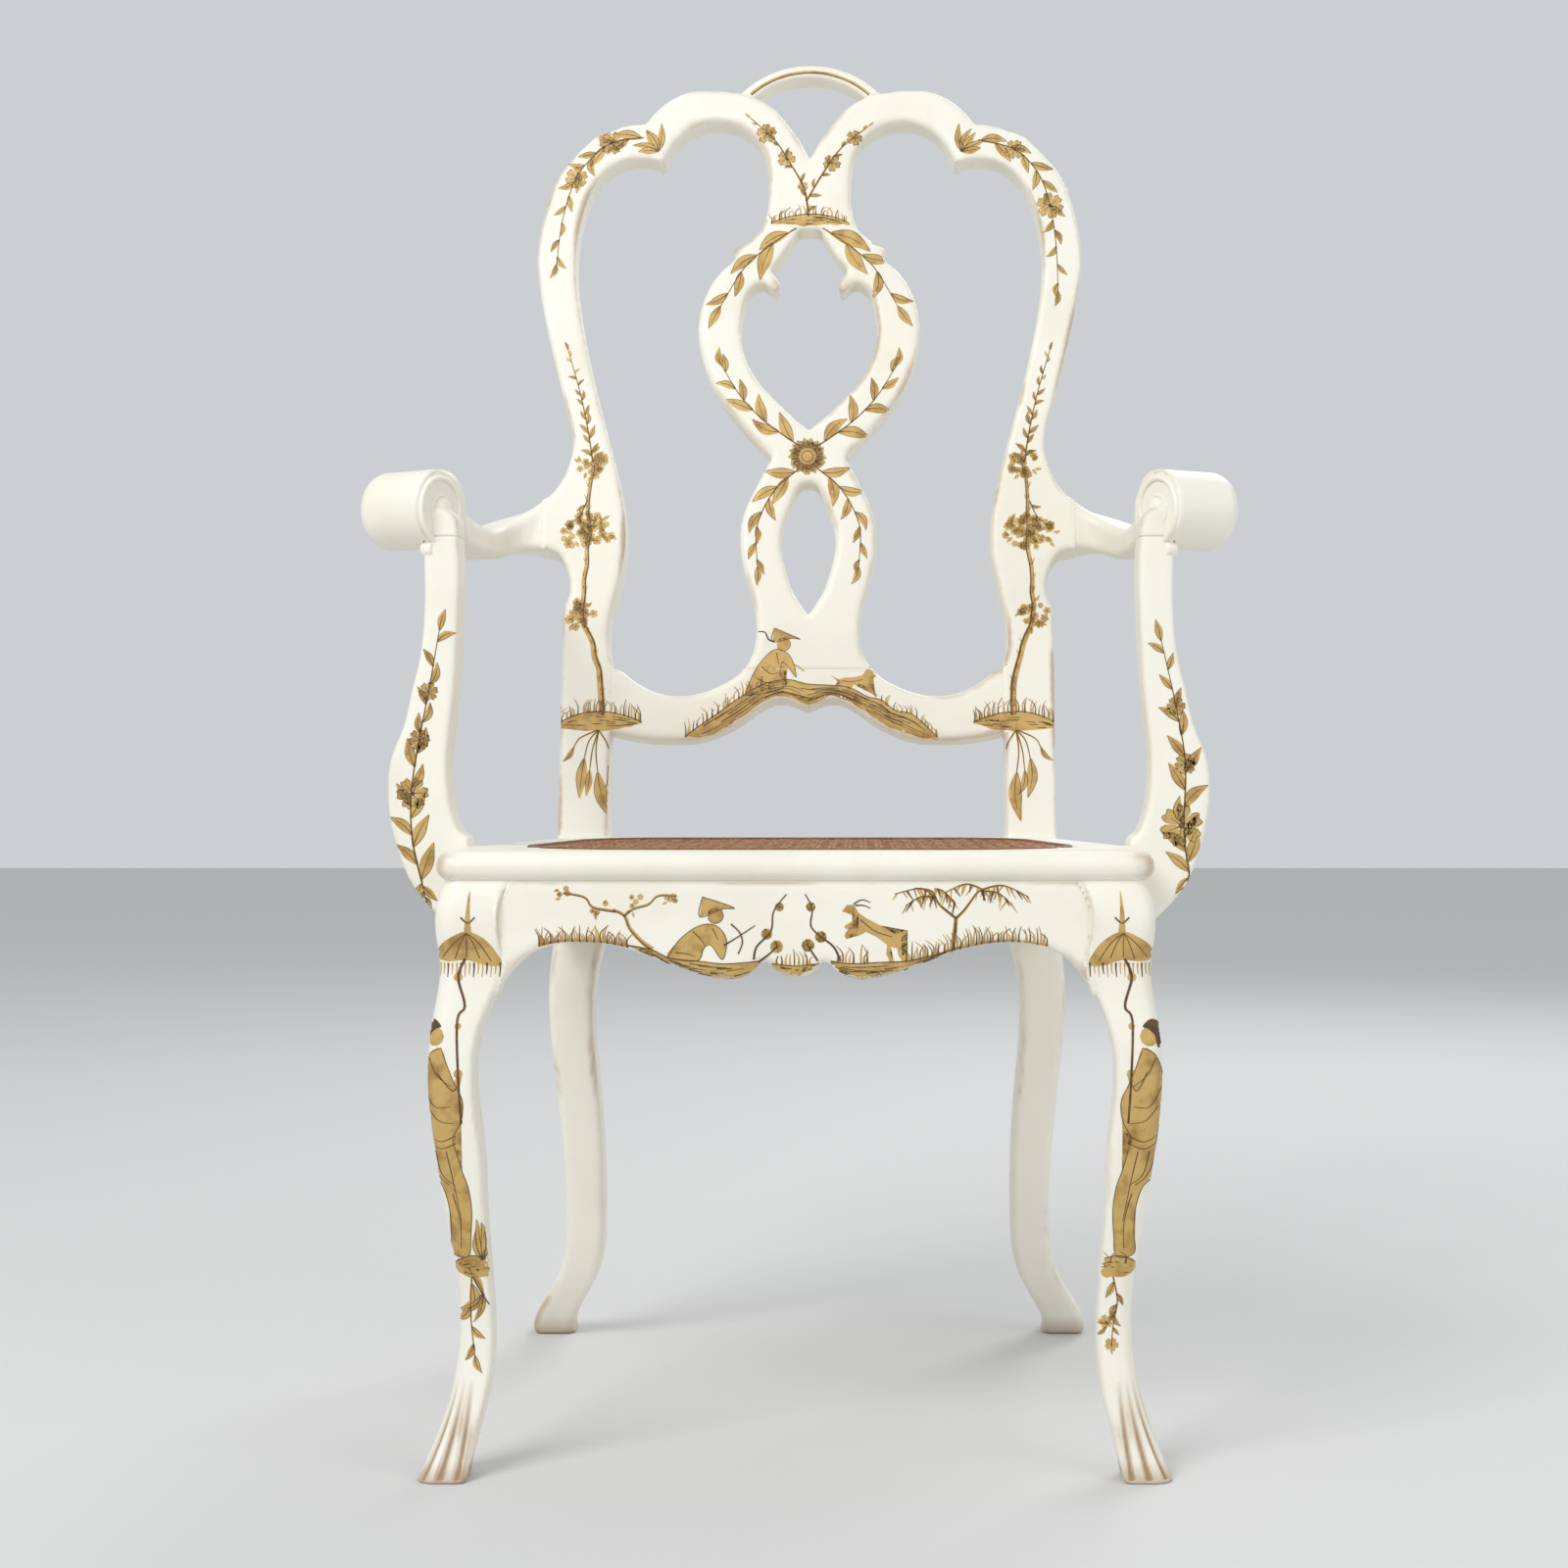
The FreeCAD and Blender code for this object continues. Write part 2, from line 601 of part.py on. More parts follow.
def back_pieces():
    """Crest, splat and shoe rail, flat, with their rounded edges."""
    board = back_board(BACK_THICK)
    board = board.cut(upright_region()).cut(mirrored(upright_region()))
    above = region([(-REACH, SPLAT_TOP_JOINT), (REACH, SPLAT_TOP_JOINT), (REACH, REACH), (-REACH, REACH)])
    below = region([(-REACH, -REACH), (REACH, -REACH), (REACH, SPLAT_FOOT_JOINT), (-REACH, SPLAT_FOOT_JOINT)])
    crest = largest(board.common(above))
    shoe = largest(board.common(below))
    splat = largest(board.cut(above).cut(below))

    def clear_of_posts(middle):
        at_crest_joint = abs(middle.x) > CREST_CUSP_HALF and middle.y < CREST_NOTCH
        at_shoe_joint = abs(abs(middle.x) - POST_INNER) < 1e-5
        at_splat = abs(middle.y - SPLAT_TOP_JOINT) < 1e-5 or abs(middle.y - SPLAT_FOOT_JOINT) < 1e-5
        return not (at_crest_joint or at_shoe_joint or at_splat)

    def in_heart(middle):
        return HEART_FOOT < middle.y <= HEART_TOP + 1 and abs(middle.x) < HEART_HALF + 1

    splat = eased(splat, BACK_ROUND, lambda m: clear_of_posts(m) and not in_heart(m))
    return eased(crest, BACK_ROUND, clear_of_posts), splat, eased(shoe, BACK_ROUND, clear_of_posts)


def crest_arch():
    """Small arch between the lobes of the crest, set behind their face."""
    centre = Vector(0, CREST_TOP + ARCH_RISE - ARCH_RADIUS, -BACK_THICK)
    depth = BACK_THICK - ARCH_SETBACK
    ring = Part.makeCylinder(ARCH_RADIUS, depth, centre)
    ring = ring.cut(Part.makeCylinder(ARCH_RADIUS - ARCH_BAND, depth, centre))
    rims = [e for e in ring.Edges if abs(e.BoundBox.ZLength) < 1e-6]
    ring = ring.makeFillet(ARCH_ROUND, rims)
    return ring.common(region([(-70, CREST_TOP - 20), (70, CREST_TOP - 20), (70, REACH), (-70, REACH)]))


# Arms

def post_profile():
    """Outline of the right arm post seen from the front, as (x, z)."""
    lip = SEAT_HEIGHT + ARM_POST_LIP
    hook = SEAT_BULGE_HALF - ARM_POST_LIP - 1
    neck_out = ARM_POST_NECK + ARM_POST_NECK_WIDTH
    outer = curve(
        [Vector(x, ARM_POST_FRONT, z) for x, z in [
            (hook, ARM_POST_FOOT), (266, ARM_POST_FOOT + 18), (290, SEAT_HEIGHT - 26), (299, SEAT_HEIGHT - 4),
            (ARM_POST_BOW - 2, SEAT_HEIGHT + 18), (ARM_POST_BOW, SEAT_HEIGHT + 46), (ARM_POST_BOW - 2, SEAT_HEIGHT + 65),
            (295, SEAT_HEIGHT + 91), (290, SEAT_HEIGHT + 113), (neck_out + 4.5, ARM_POST_TOP - 97),
            (neck_out + 1, ARM_POST_TOP - 75), (neck_out - 0.5, ARM_POST_TOP - 39), (neck_out, ARM_POST_TOP),
        ]],
    )
    inner = curve(
        [Vector(x, ARM_POST_FRONT, z) for x, z in [
            (ARM_POST_NECK, ARM_POST_TOP), (ARM_POST_NECK - 0.5, ARM_POST_TOP - 54), (ARM_POST_NECK + 0.5, ARM_POST_TOP - 75),
            (ARM_POST_NECK + 2, ARM_POST_TOP - 105), (258.5, SEAT_HEIGHT + 105), (261, SEAT_HEIGHT + 83),
            (262.5, SEAT_HEIGHT + 65), (262, SEAT_HEIGHT + 47), (260, SEAT_HEIGHT + 30), (256.5, SEAT_HEIGHT + 18),
            (251, lip), (hook, lip - 1),
        ]],
    )
    top = line(Vector(neck_out, ARM_POST_FRONT, ARM_POST_TOP), Vector(ARM_POST_NECK, ARM_POST_FRONT, ARM_POST_TOP))
    foot = line(Vector(hook, ARM_POST_FRONT, lip - 1), Vector(hook, ARM_POST_FRONT, ARM_POST_FOOT))
    return [outer, inner, top, foot]


def arm_post():
    """Right arm post, an S-shaped board with eased long edges."""
    post = slab(post_profile(), Vector(0, ARM_POST_DEPTH, 0))
    long_edges = [
        e for e in post.Edges
        if e.BoundBox.YLength < 1e-6 and e.BoundBox.ZLength > SEAT_HEIGHT / 3 and e.BoundBox.XLength > 5
    ]
    return post.makeFillet(ARM_POST_ROUND, long_edges)


def arm_section(centre, side, up, width, height, radius):
    """Rounded section of the arm across its run."""
    x, y = width / 2, height / 2
    outline = rounded_polygon([(-x, -y, radius), (x, -y, radius), (x, y, radius), (-x, y, radius)])
    outline.Placement = Placement(Vector(centre), Rotation(side, up, side.cross(up), "XYZ"))
    return outline


def scroll_place():
    """Place of the right scroll: x runs forward, y up and z inwards along the roll."""
    turn = math.radians(SCROLL_SPLAY)
    forward = Vector(math.sin(turn), -math.cos(turn), 0)
    centre = Vector(SCROLL_HALF, SCROLL_BACK, ARM_TOP - SCROLL_RADIUS)
    return Placement(centre, Rotation(forward, UP, forward.cross(UP), "XYZ"))


def volute():
    """Spiral groove cut in the inner end of the scroll."""
    turns = 2.1
    steps = 26
    start = math.radians(115)
    outer, inner = [], []
    for step in range(steps + 1):
        share = step / steps
        angle = start - share * turns * 2 * math.pi
        reach = SCROLL_RADIUS - 5 - share * (SCROLL_RADIUS - 14)
        ray = Vector(math.cos(angle), math.sin(angle), 0)
        outer.append(ray * (reach + VOLUTE_GROOVE / 2))
        inner.append(ray * (reach - VOLUTE_GROOVE / 2))
    edges = [curve(outer), curve(inner), line(outer[0], inner[0]), line(outer[-1], inner[-1])]
    groove = slab(edges, Vector(0, 0, VOLUTE_DEPTH + 1))
    return groove.translated(UP * (SCROLL_WIDTH / 2 - VOLUTE_DEPTH))


def arm():
    """Right arm: from the wing of the rear post it turns forward, dips and ends in a scroll."""
    middle = (WING_FOOT + WING_TOP) / 2
    thick = post_thickness(middle)
    root = BACK_PLANE.multVec(Vector(WING_HALF, middle, -thick / 2))
    stations = [
        (258.0, root.y - 7, 35.0, ARM_DIP + 17, ARM_WIDTH + 3, ARM_HEIGHT + 7),
        (275.0, root.y - 30, 68.0, ARM_DIP + 9, ARM_WIDTH + 1, ARM_HEIGHT + 3),
        (ARM_RUN_HALF, root.y - 100, 88.0, ARM_DIP + 1, ARM_WIDTH, ARM_HEIGHT),
        (ARM_RUN_HALF, SCROLL_BACK + 125, 90.0, ARM_DIP, ARM_WIDTH, ARM_HEIGHT),
        (ARM_RUN_HALF, SCROLL_BACK + 62, 86.0, ARM_DIP + 6, ARM_WIDTH + 8, ARM_HEIGHT),
        (ARM_RUN_HALF + 3, SCROLL_BACK + 28, 76.0, ARM_TOP - ARM_HEIGHT / 2 - 3, SCROLL_WIDTH - 9, ARM_HEIGHT),
        (SCROLL_HALF, SCROLL_BACK, 90 - SCROLL_SPLAY, ARM_TOP - ARM_HEIGHT / 2, SCROLL_WIDTH, ARM_HEIGHT),
    ]
    across = BACK_PLANE.Rotation.multVec(Vector(0, 0, -1))
    along = BACK_PLANE.Rotation.multVec(Vector(0, 1, 0))
    sections = [arm_section(root, across, along, thick, WING_TOP - WING_FOOT, BACK_ROUND)]
    for x, y, heading, z, width, height in stations:
        angle = math.radians(heading)
        side = Vector(math.sin(angle), math.cos(angle), 0)
        sections.append(arm_section(Vector(x, y, z), side, UP, width, height, 8.0))
    run = Part.makeLoft(sections, True, False)
    roll = Part.makeCylinder(SCROLL_RADIUS, SCROLL_WIDTH, Vector(0, 0, -SCROLL_WIDTH / 2))
    outer_rim = [e for e in roll.Edges if e.BoundBox.ZMax < -SCROLL_WIDTH / 2 + 1e-6]
    roll = roll.makeFillet(SCROLL_END_ROUND, outer_rim)
    groove = volute()
    roll.Placement = scroll_place()
    groove.Placement = scroll_place().multiply(groove.Placement)
    half = ARM_POST_NECK_WIDTH / 2
    crown = Vector(ARM_POST_NECK + half, ARM_POST_FRONT, ARM_POST_TOP + TONGUE_RISE)
    shoulder_z = ARM_POST_TOP + TONGUE_RISE - half
    left = Vector(ARM_POST_NECK, ARM_POST_FRONT, ARM_POST_TOP)
    right = Vector(ARM_POST_NECK + 2 * half, ARM_POST_FRONT, ARM_POST_TOP)
    left_top = Vector(left.x, left.y, shoulder_z)
    right_top = Vector(right.x, right.y, shoulder_z)
    tongue = slab(
        [line(left, right), line(right, right_top), Part.Arc(right_top, crown, left_top).toShape(), line(left_top, left)],
        Vector(0, ARM_POST_DEPTH, 0),
    )
    seat = box((left.x, ARM_POST_FRONT, ARM_POST_TOP - 100), (right.x, ARM_POST_FRONT + ARM_POST_DEPTH, ARM_POST_TOP))
    return largest(run.fuse(roll).cut(groove).fuse(tongue).cut(seat))


# Rails

def front_rail():
    """Front rail with the shaped lower edge of its apron, before it is fitted to the legs."""
    reach = LEG_OUTER - LEG_BLOCK / 2 - 3
    foot = RAIL_TOP - APRON_DROP
    half = curve([Vector(x, OVERHANG, z) for x, z in [
        (APRON_CUSP_HALF, RAIL_TOP - APRON_CUSP_DROP), (26, foot + 9), (34, foot + 2.5), (APRON_LOBE_HALF, foot),
        (64, foot + 2.5), (91, foot + 12), (118, foot + 21.5), (APRON_ARCH_HALF, RAIL_TOP - APRON_ARCH_DROP),
        (170, RAIL_TOP - APRON_ARCH_DROP - 2), (187, RAIL_TOP - APRON_ARCH_DROP - 9), (204, foot + 0.5),
        (reach, foot - 24),
    ]])
    lobe = Part.Arc(
        Vector(-APRON_CUSP_HALF, OVERHANG, RAIL_TOP - APRON_CUSP_DROP),
        Vector(0, OVERHANG, foot + 1.5),
        Vector(APRON_CUSP_HALF, OVERHANG, RAIL_TOP - APRON_CUSP_DROP),
    ).toShape()
    ends = [
        line(Vector(side * reach, OVERHANG, foot - 24), Vector(side * reach, OVERHANG, RAIL_TOP)) for side in (-1, 1)
    ]
    top = line(Vector(-reach, OVERHANG, RAIL_TOP), Vector(reach, OVERHANG, RAIL_TOP))
    return slab([half, mirrored(half), lobe, top] + ends, Vector(0, RAIL_THICK, 0))


def side_rail():
    """Right side rail, following the edge of the seat, before it is fitted to leg and post."""
    low = RAIL_TOP - SIDE_RAIL_DEPTH
    start = OVERHANG + LEG_BLOCK
    arch = low + SIDE_ARCH_RISE
    lower = curve([Vector(0, y, z) for y, z in [
        (start - 20, low - 34), (start - 5, low - 12), (start + 12, low + 5), (start + 26, arch - 1.5),
        (start + SIDE_ARCH_LENGTH, arch), (start + 50, low + 9), (start + 64, low + 1.5), (start + 82, low),
    ]])
    outline = [
        lower,
        line(Vector(0, start + 82, low), Vector(0, POST_FRONT + 15, low)),
        line(Vector(0, POST_FRONT + 15, low), Vector(0, POST_FRONT + 15, RAIL_TOP)),
        line(Vector(0, POST_FRONT + 15, RAIL_TOP), Vector(0, start - 20, RAIL_TOP)),
        line(Vector(0, start - 20, RAIL_TOP), Vector(0, start - 20, low - 34)),
    ]
    profile = slab(outline, Vector(REACH, 0, 0))
    ring = plate(rounded_polygon(inset(seat_corners(), OVERHANG)), low - 60, RAIL_TOP)
    ring = ring.cut(plate(rounded_polygon(inset(seat_corners(), OVERHANG + RAIL_THICK)), low - 61, RAIL_TOP + 1))
    return profile.common(ring)


def side_rail_middle(y):
    """Half width of the middle of the right side rail at a depth y."""
    inner = inset(seat_corners(), OVERHANG + RAIL_THICK / 2)
    (x0, y0, _), (x1, y1, _), (x2, y2, _) = inner[:3]
    if y < y1:
        return x0 + (x1 - x0) * (y - y0) / (y1 - y0)
    return x1 + (x2 - x1) * (y - y1) / (y2 - y1)


def rear_rail():
    """Rear rail between the posts, without its tenons."""
    back = SEAT_DEPTH - OVERHANG
    return box((-POST_INNER, back - RAIL_THICK, RAIL_TOP - REAR_RAIL_DEPTH), (POST_INNER, back, RAIL_TOP))


# Joinery

def tenon(low, high):
    """A tenon block and the slightly larger mortise that takes it."""
    gap = Vector(TENON_GAP, TENON_GAP, TENON_GAP)
    return box(low, high), box(Vector(low) - gap, Vector(high) + gap)


def screw(start, way, length):
    """Countersunk screw from the face of its head along a direction."""
    start, way = Vector(start), Vector(way).normalize()
    head = Part.makeCone(SCREW_HEAD_RADIUS, SCREW_RADIUS, SCREW_HEAD, start, way)
    return merged(head, Part.makeCylinder(SCREW_RADIUS, length, start, way))


def corner_block(corner, leg):
    """Three-sided block over the corner of two rails, before it is fitted round the leg."""
    x, y = corner
    turn = 1 if y < SEAT_DEPTH / 2 else -1
    points = [Vector(x, y, 0), Vector(x - leg, y, 0), Vector(x, y + turn * leg, 0)]
    return plate(Part.makePolygon(points + points[:1]), RAIL_TOP - BLOCK_THICK, RAIL_TOP)


def build():
    """All pieces of the chair by name, in the modelling frame."""
    frame_front, frame_right, frame_rear = seat_frame()
    leg = front_leg()
    lower, middle = rear_leg()
    upper = leaned(upright())
    upper = largest(upper.cut(box((-REACH, -REACH, 0), (REACH, REACH, SEAT_HEIGHT))))
    post = largest(merged(lower, middle, upper))
    crest, splat, shoe = back_pieces()
    arch = largest(crest_arch().cut(crest))
    arms = arm()
    stay = arm_post()
    front = front_rail()
    side = side_rail()
    rear = rear_rail()

    # Rails against legs and posts
    front = largest(front.cut(leg).cut(mirrored(leg)))
    rear = largest(rear.cut(post).cut(mirrored(post)))
    side = largest(side.cut(leg).cut(post))
    leg_inner = LEG_OUTER - LEG_BLOCK
    leg_back = OVERHANG + LEG_BLOCK
    high = RAIL_TOP - TENON_INSET
    low = RAIL_TOP - SIDE_RAIL_DEPTH + TENON_INSET
    rail_y = OVERHANG + RAIL_THICK / 2
    half = TENON_THICK / 2
    front_tenon, front_mortise = tenon((leg_inner - 6, rail_y - half, low), (leg_inner + TENON_LENGTH, rail_y + half, high))
    front = merged(front, front_tenon, mirrored(front_tenon))
    leg_x = side_rail_middle(leg_back)
    near_tenon, near_mortise = tenon((leg_x - half, leg_back - TENON_LENGTH, low), (leg_x + half, leg_back + 6, high))
    post_x = side_rail_middle(POST_FRONT)
    far_tenon, far_mortise = tenon((post_x - half, POST_FRONT - 6, low), (post_x + half, POST_FRONT + TENON_LENGTH, high))
    side = merged(side, near_tenon, far_tenon)
    rear_y = SEAT_DEPTH - OVERHANG - RAIL_THICK / 2
    rear_low = RAIL_TOP - REAR_RAIL_DEPTH + TENON_INSET
    rear_tenon, rear_mortise = tenon(
        (POST_INNER - 6, rear_y - half, rear_low), (POST_INNER + TENON_LENGTH, rear_y + half, high))
    rear = merged(rear, rear_tenon, mirrored(rear_tenon))
    leg = leg.cut(front_mortise).cut(near_mortise)
    post = post.cut(far_mortise).cut(rear_mortise)

    # Shoe rail and splat
    core = -BACK_THICK / 2
    shoe_tenon, shoe_mortise = tenon(
        (POST_INNER - 6, SHOE_END + TENON_INSET, core - half),
        (POST_INNER + TENON_LENGTH, OPENING_FOOT + 14, core + half))
    shoe = merged(shoe, shoe_tenon, mirrored(shoe_tenon))
    post = post.cut(leaned(shoe_mortise))
    foot_tenon, foot_mortise = tenon(
        (-NECK_HALF / 2, SPLAT_FOOT_JOINT - 18, core - half), (NECK_HALF / 2, SPLAT_FOOT_JOINT + 6, core + half))
    head_tenon, head_mortise = tenon(
        (-NECK_HALF / 2, SPLAT_TOP_JOINT - 6, core - half), (NECK_HALF / 2, SPLAT_TOP_JOINT + 20, core + half))
    splat = merged(splat, foot_tenon, head_tenon)
    shoe = shoe.cut(foot_mortise)
    crest = crest.cut(head_mortise)

    # Dowels of the crest and its arch
    cusp = Vector(CREST_CUSP_HALF, CREST_CUSP, core)
    notch = Vector(CREST_NOTCH_HALF, CREST_NOTCH, core)
    across = UP.cross(notch - cusp).normalize() * (DOWEL_LENGTH / 2)
    crest_dowel = rod(DOWEL_RADIUS, (cusp + notch) / 2 - across, (cusp + notch) / 2 + across)
    crest = crest.cut(both(crest_dowel))
    post = post.cut(leaned(crest_dowel))
    swing = math.radians(46)
    middle_radius = ARCH_RADIUS - ARCH_BAND / 2
    arch_y = CREST_TOP + ARCH_RISE - ARCH_RADIUS
    arch_z = -(BACK_THICK + ARCH_SETBACK) / 2
    end = Vector(middle_radius * math.cos(swing), arch_y + middle_radius * math.sin(swing), arch_z)
    inward = (Vector(87, LOBE_TOP - 51, arch_z) - end).normalize()
    arch_dowel = rod(DOWEL_RADIUS * 0.6, end - inward * 8, end + inward * 14)
    arch = arch.cut(both(arch_dowel))
    crest = crest.cut(both(arch_dowel))

    # Arms and arm posts
    stay = largest(stay.cut(frame_right).cut(frame_front).cut(side))
    stay_x = ARM_POST_NECK + ARM_POST_NECK_WIDTH / 2
    stay_y = ARM_POST_FRONT + ARM_POST_DEPTH / 2
    stay_dowel = rod(DOWEL_RADIUS, (stay_x, stay_y, ARM_POST_TOP - 20), (stay_x, stay_y, ARM_POST_TOP + 16))
    stay = stay.cut(stay_dowel)
    arms = arms.cut(stay_dowel)
    wing_middle = (WING_FOOT + WING_TOP) / 2
    arm_dowels = []
    for rise in (-12, 6):
        place = BACK_PLANE.multVec(Vector(WING_HALF, wing_middle + rise, -post_thickness(wing_middle) / 2))
        shift = Vector(DOWEL_LENGTH / 2, 0, 0)
        arm_dowels.append(rod(DOWEL_RADIUS, place - shift, place + shift))
    arm_dowels = Part.makeCompound(arm_dowels)
    arms = arms.cut(arm_dowels)
    post = post.cut(arm_dowels)
    stay_screws = []
    for step in (-9, 9):
        face = side_rail_middle(stay_y + step) - RAIL_THICK / 2 + 1
        stay_screws.append(screw((face, stay_y + step, RAIL_TOP - 22), (1, 0, 0), POST_SCREW_LENGTH))
    stay_screws = Part.makeCompound(stay_screws)
    side = side.cut(stay_screws)
    stay = stay.cut(stay_screws)

    # Corner blocks and their screws
    near_corner = (side_rail_middle(leg_back) + 1, OVERHANG + RAIL_THICK - 1)
    far_corner = (side_rail_middle(POST_FRONT), SEAT_DEPTH - OVERHANG - RAIL_THICK + 1)
    near_block = corner_block(near_corner, BLOCK_FRONT_LEG)
    far_block = corner_block(far_corner, BLOCK_REAR_LEG)
    round_leg = box((leg_inner, -REACH, 0), (REACH, leg_back, REACH))
    near_block = largest(near_block.cut(round_leg).cut(front).cut(side))
    far_block = largest(far_block.cut(post).cut(rear).cut(side))
    level = RAIL_TOP - BLOCK_THICK / 2
    block_screws = [
        screw((near_corner[0] - BLOCK_FRONT_LEG + 26, near_corner[1] + 20, level), (0, -1, 0), BLOCK_SCREW_LENGTH),
        screw((near_corner[0] - 20, near_corner[1] + BLOCK_FRONT_LEG - 26, level), (1, 0, 0), BLOCK_SCREW_LENGTH),
        screw((far_corner[0] - BLOCK_REAR_LEG + 26, far_corner[1] - 20, level), (0, 1, 0), BLOCK_SCREW_LENGTH),
        screw((far_corner[0] - 20, far_corner[1] - BLOCK_REAR_LEG + 26, level), (1, 0, 0), BLOCK_SCREW_LENGTH),
    ]
    block_screws = Part.makeCompound(block_screws)
    frame_screws = Part.makeCompound([
        screw((near_corner[0] - 46, near_corner[1] + 38, RAIL_TOP - BLOCK_THICK), UP, BLOCK_THICK + 12),
        screw((far_corner[0] - 40, far_corner[1] - 17, RAIL_TOP - BLOCK_THICK), UP, BLOCK_THICK + 12),
    ])
    near_block = largest(near_block.cut(block_screws).cut(frame_screws))
    far_block = largest(far_block.cut(block_screws).cut(frame_screws))
    front = front.cut(both(block_screws))
    side = side.cut(block_screws)
    rear = rear.cut(both(block_screws))
    frame_front = frame_front.cut(both(frame_screws))
    frame_rear = frame_rear.cut(both(frame_screws))

    # Dowels between the members of the caned frame
    peg = RAIL_TOP + FRAME_THICK * 0.36
    reach = DOWEL_LENGTH / 2
    frame_dowels = Part.makeCompound([
        rod(DOWEL_RADIUS, (x, FRAME_FRONT_JOINT - reach, peg), (x, FRAME_FRONT_JOINT + reach, peg))
        for x in (SEAT_FRONT_HALF - 27, SEAT_FRONT_HALF - 13)
    ] + [rod(DOWEL_RADIUS, (POST_INNER - reach, POST_FRONT - 9, peg), (POST_INNER + reach, POST_FRONT - 9, peg))])
    frame_front = frame_front.cut(both(frame_dowels))
    frame_right = frame_right.cut(frame_dowels)
    frame_rear = frame_rear.cut(both(frame_dowels))

    return {
        "front_leg_right": leg,
        "front_leg_left": mirrored(leg),
        "rear_post_right": post,
        "rear_post_left": mirrored(post),
        "front_rail": front,
        "side_rail_right": side,
        "side_rail_left": mirrored(side),
        "rear_rail": rear,
        "corner_block_front_right": near_block,
        "corner_block_front_left": mirrored(near_block),
        "corner_block_rear_right": far_block,
        "corner_block_rear_left": mirrored(far_block),
        "seat_frame_front": frame_front,
        "seat_frame_right": frame_right,
        "seat_frame_left": mirrored(frame_right),
        "seat_frame_rear": frame_rear,
        "cane_panel": cane_sheet(),
        "cane_reed": cane_reed(),
        "crest_rail": leaned(crest),
        "crest_arch": leaned(arch),
        "splat": leaned(splat),
        "shoe_rail": leaned(shoe),
        "arm_right": arms,
        "arm_left": mirrored(arms),
        "arm_post_right": stay,
        "arm_post_left": mirrored(stay),
        "crest_dowels": leaned(both(crest_dowel)),
        "arch_dowels": leaned(both(arch_dowel)),
        "arm_dowels": both(arm_dowels),
        "arm_post_dowels": both(stay_dowel),
        "arm_post_screws": both(stay_screws),
        "corner_block_screws": both(block_screws),
        "seat_frame_screws": both(frame_screws),
        "seat_frame_dowels": both(frame_dowels),
    }


def main():
    """Write every piece, with the chair standing on z = 0 and centred over the origin."""
    pieces = build()
    bounds = Part.makeCompound(list(pieces.values())).optimalBoundingBox(False, False)
    home = Vector(-bounds.Center.x, -bounds.Center.y, -bounds.ZMin)
    os.makedirs("parts", exist_ok=True)
    for name, shape in pieces.items():
        shape.translated(home).exportStep(f"parts/{name}.step")


if __name__ == "__main__":
    main()
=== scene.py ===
"""Dressed armchair: carved cream lacquer, gilt and ink ornament, and a woven cane seat."""
import json
import logging
import math
import random
from dataclasses import dataclass, field
from enum import Enum
from typing import Callable, Iterable, Sequence

import bmesh
import bpy
import numpy as np
from mathutils import Matrix, Vector
from mathutils.bvhtree import BVHTree


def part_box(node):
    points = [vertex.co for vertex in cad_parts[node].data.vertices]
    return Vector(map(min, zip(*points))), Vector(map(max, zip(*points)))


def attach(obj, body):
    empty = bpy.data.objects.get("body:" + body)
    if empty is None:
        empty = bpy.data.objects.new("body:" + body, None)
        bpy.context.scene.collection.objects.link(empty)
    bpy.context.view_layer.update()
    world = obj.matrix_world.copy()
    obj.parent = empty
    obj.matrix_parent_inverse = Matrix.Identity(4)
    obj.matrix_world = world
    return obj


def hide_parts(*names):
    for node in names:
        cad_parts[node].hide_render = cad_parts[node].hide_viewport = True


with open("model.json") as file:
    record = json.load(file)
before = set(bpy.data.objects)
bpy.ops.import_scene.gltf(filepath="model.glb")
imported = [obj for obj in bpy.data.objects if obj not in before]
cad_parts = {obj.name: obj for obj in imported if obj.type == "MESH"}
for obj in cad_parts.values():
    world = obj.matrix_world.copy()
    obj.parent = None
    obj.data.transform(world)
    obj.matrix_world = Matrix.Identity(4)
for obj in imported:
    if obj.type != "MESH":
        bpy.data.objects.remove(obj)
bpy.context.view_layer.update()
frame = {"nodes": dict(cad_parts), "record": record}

MM = 0.001
BODY = "root"
Point = tuple[float, float]
Colour = tuple[float, float, float, float]

log = logging.getLogger("armchair")


# Node sheets and shared effects

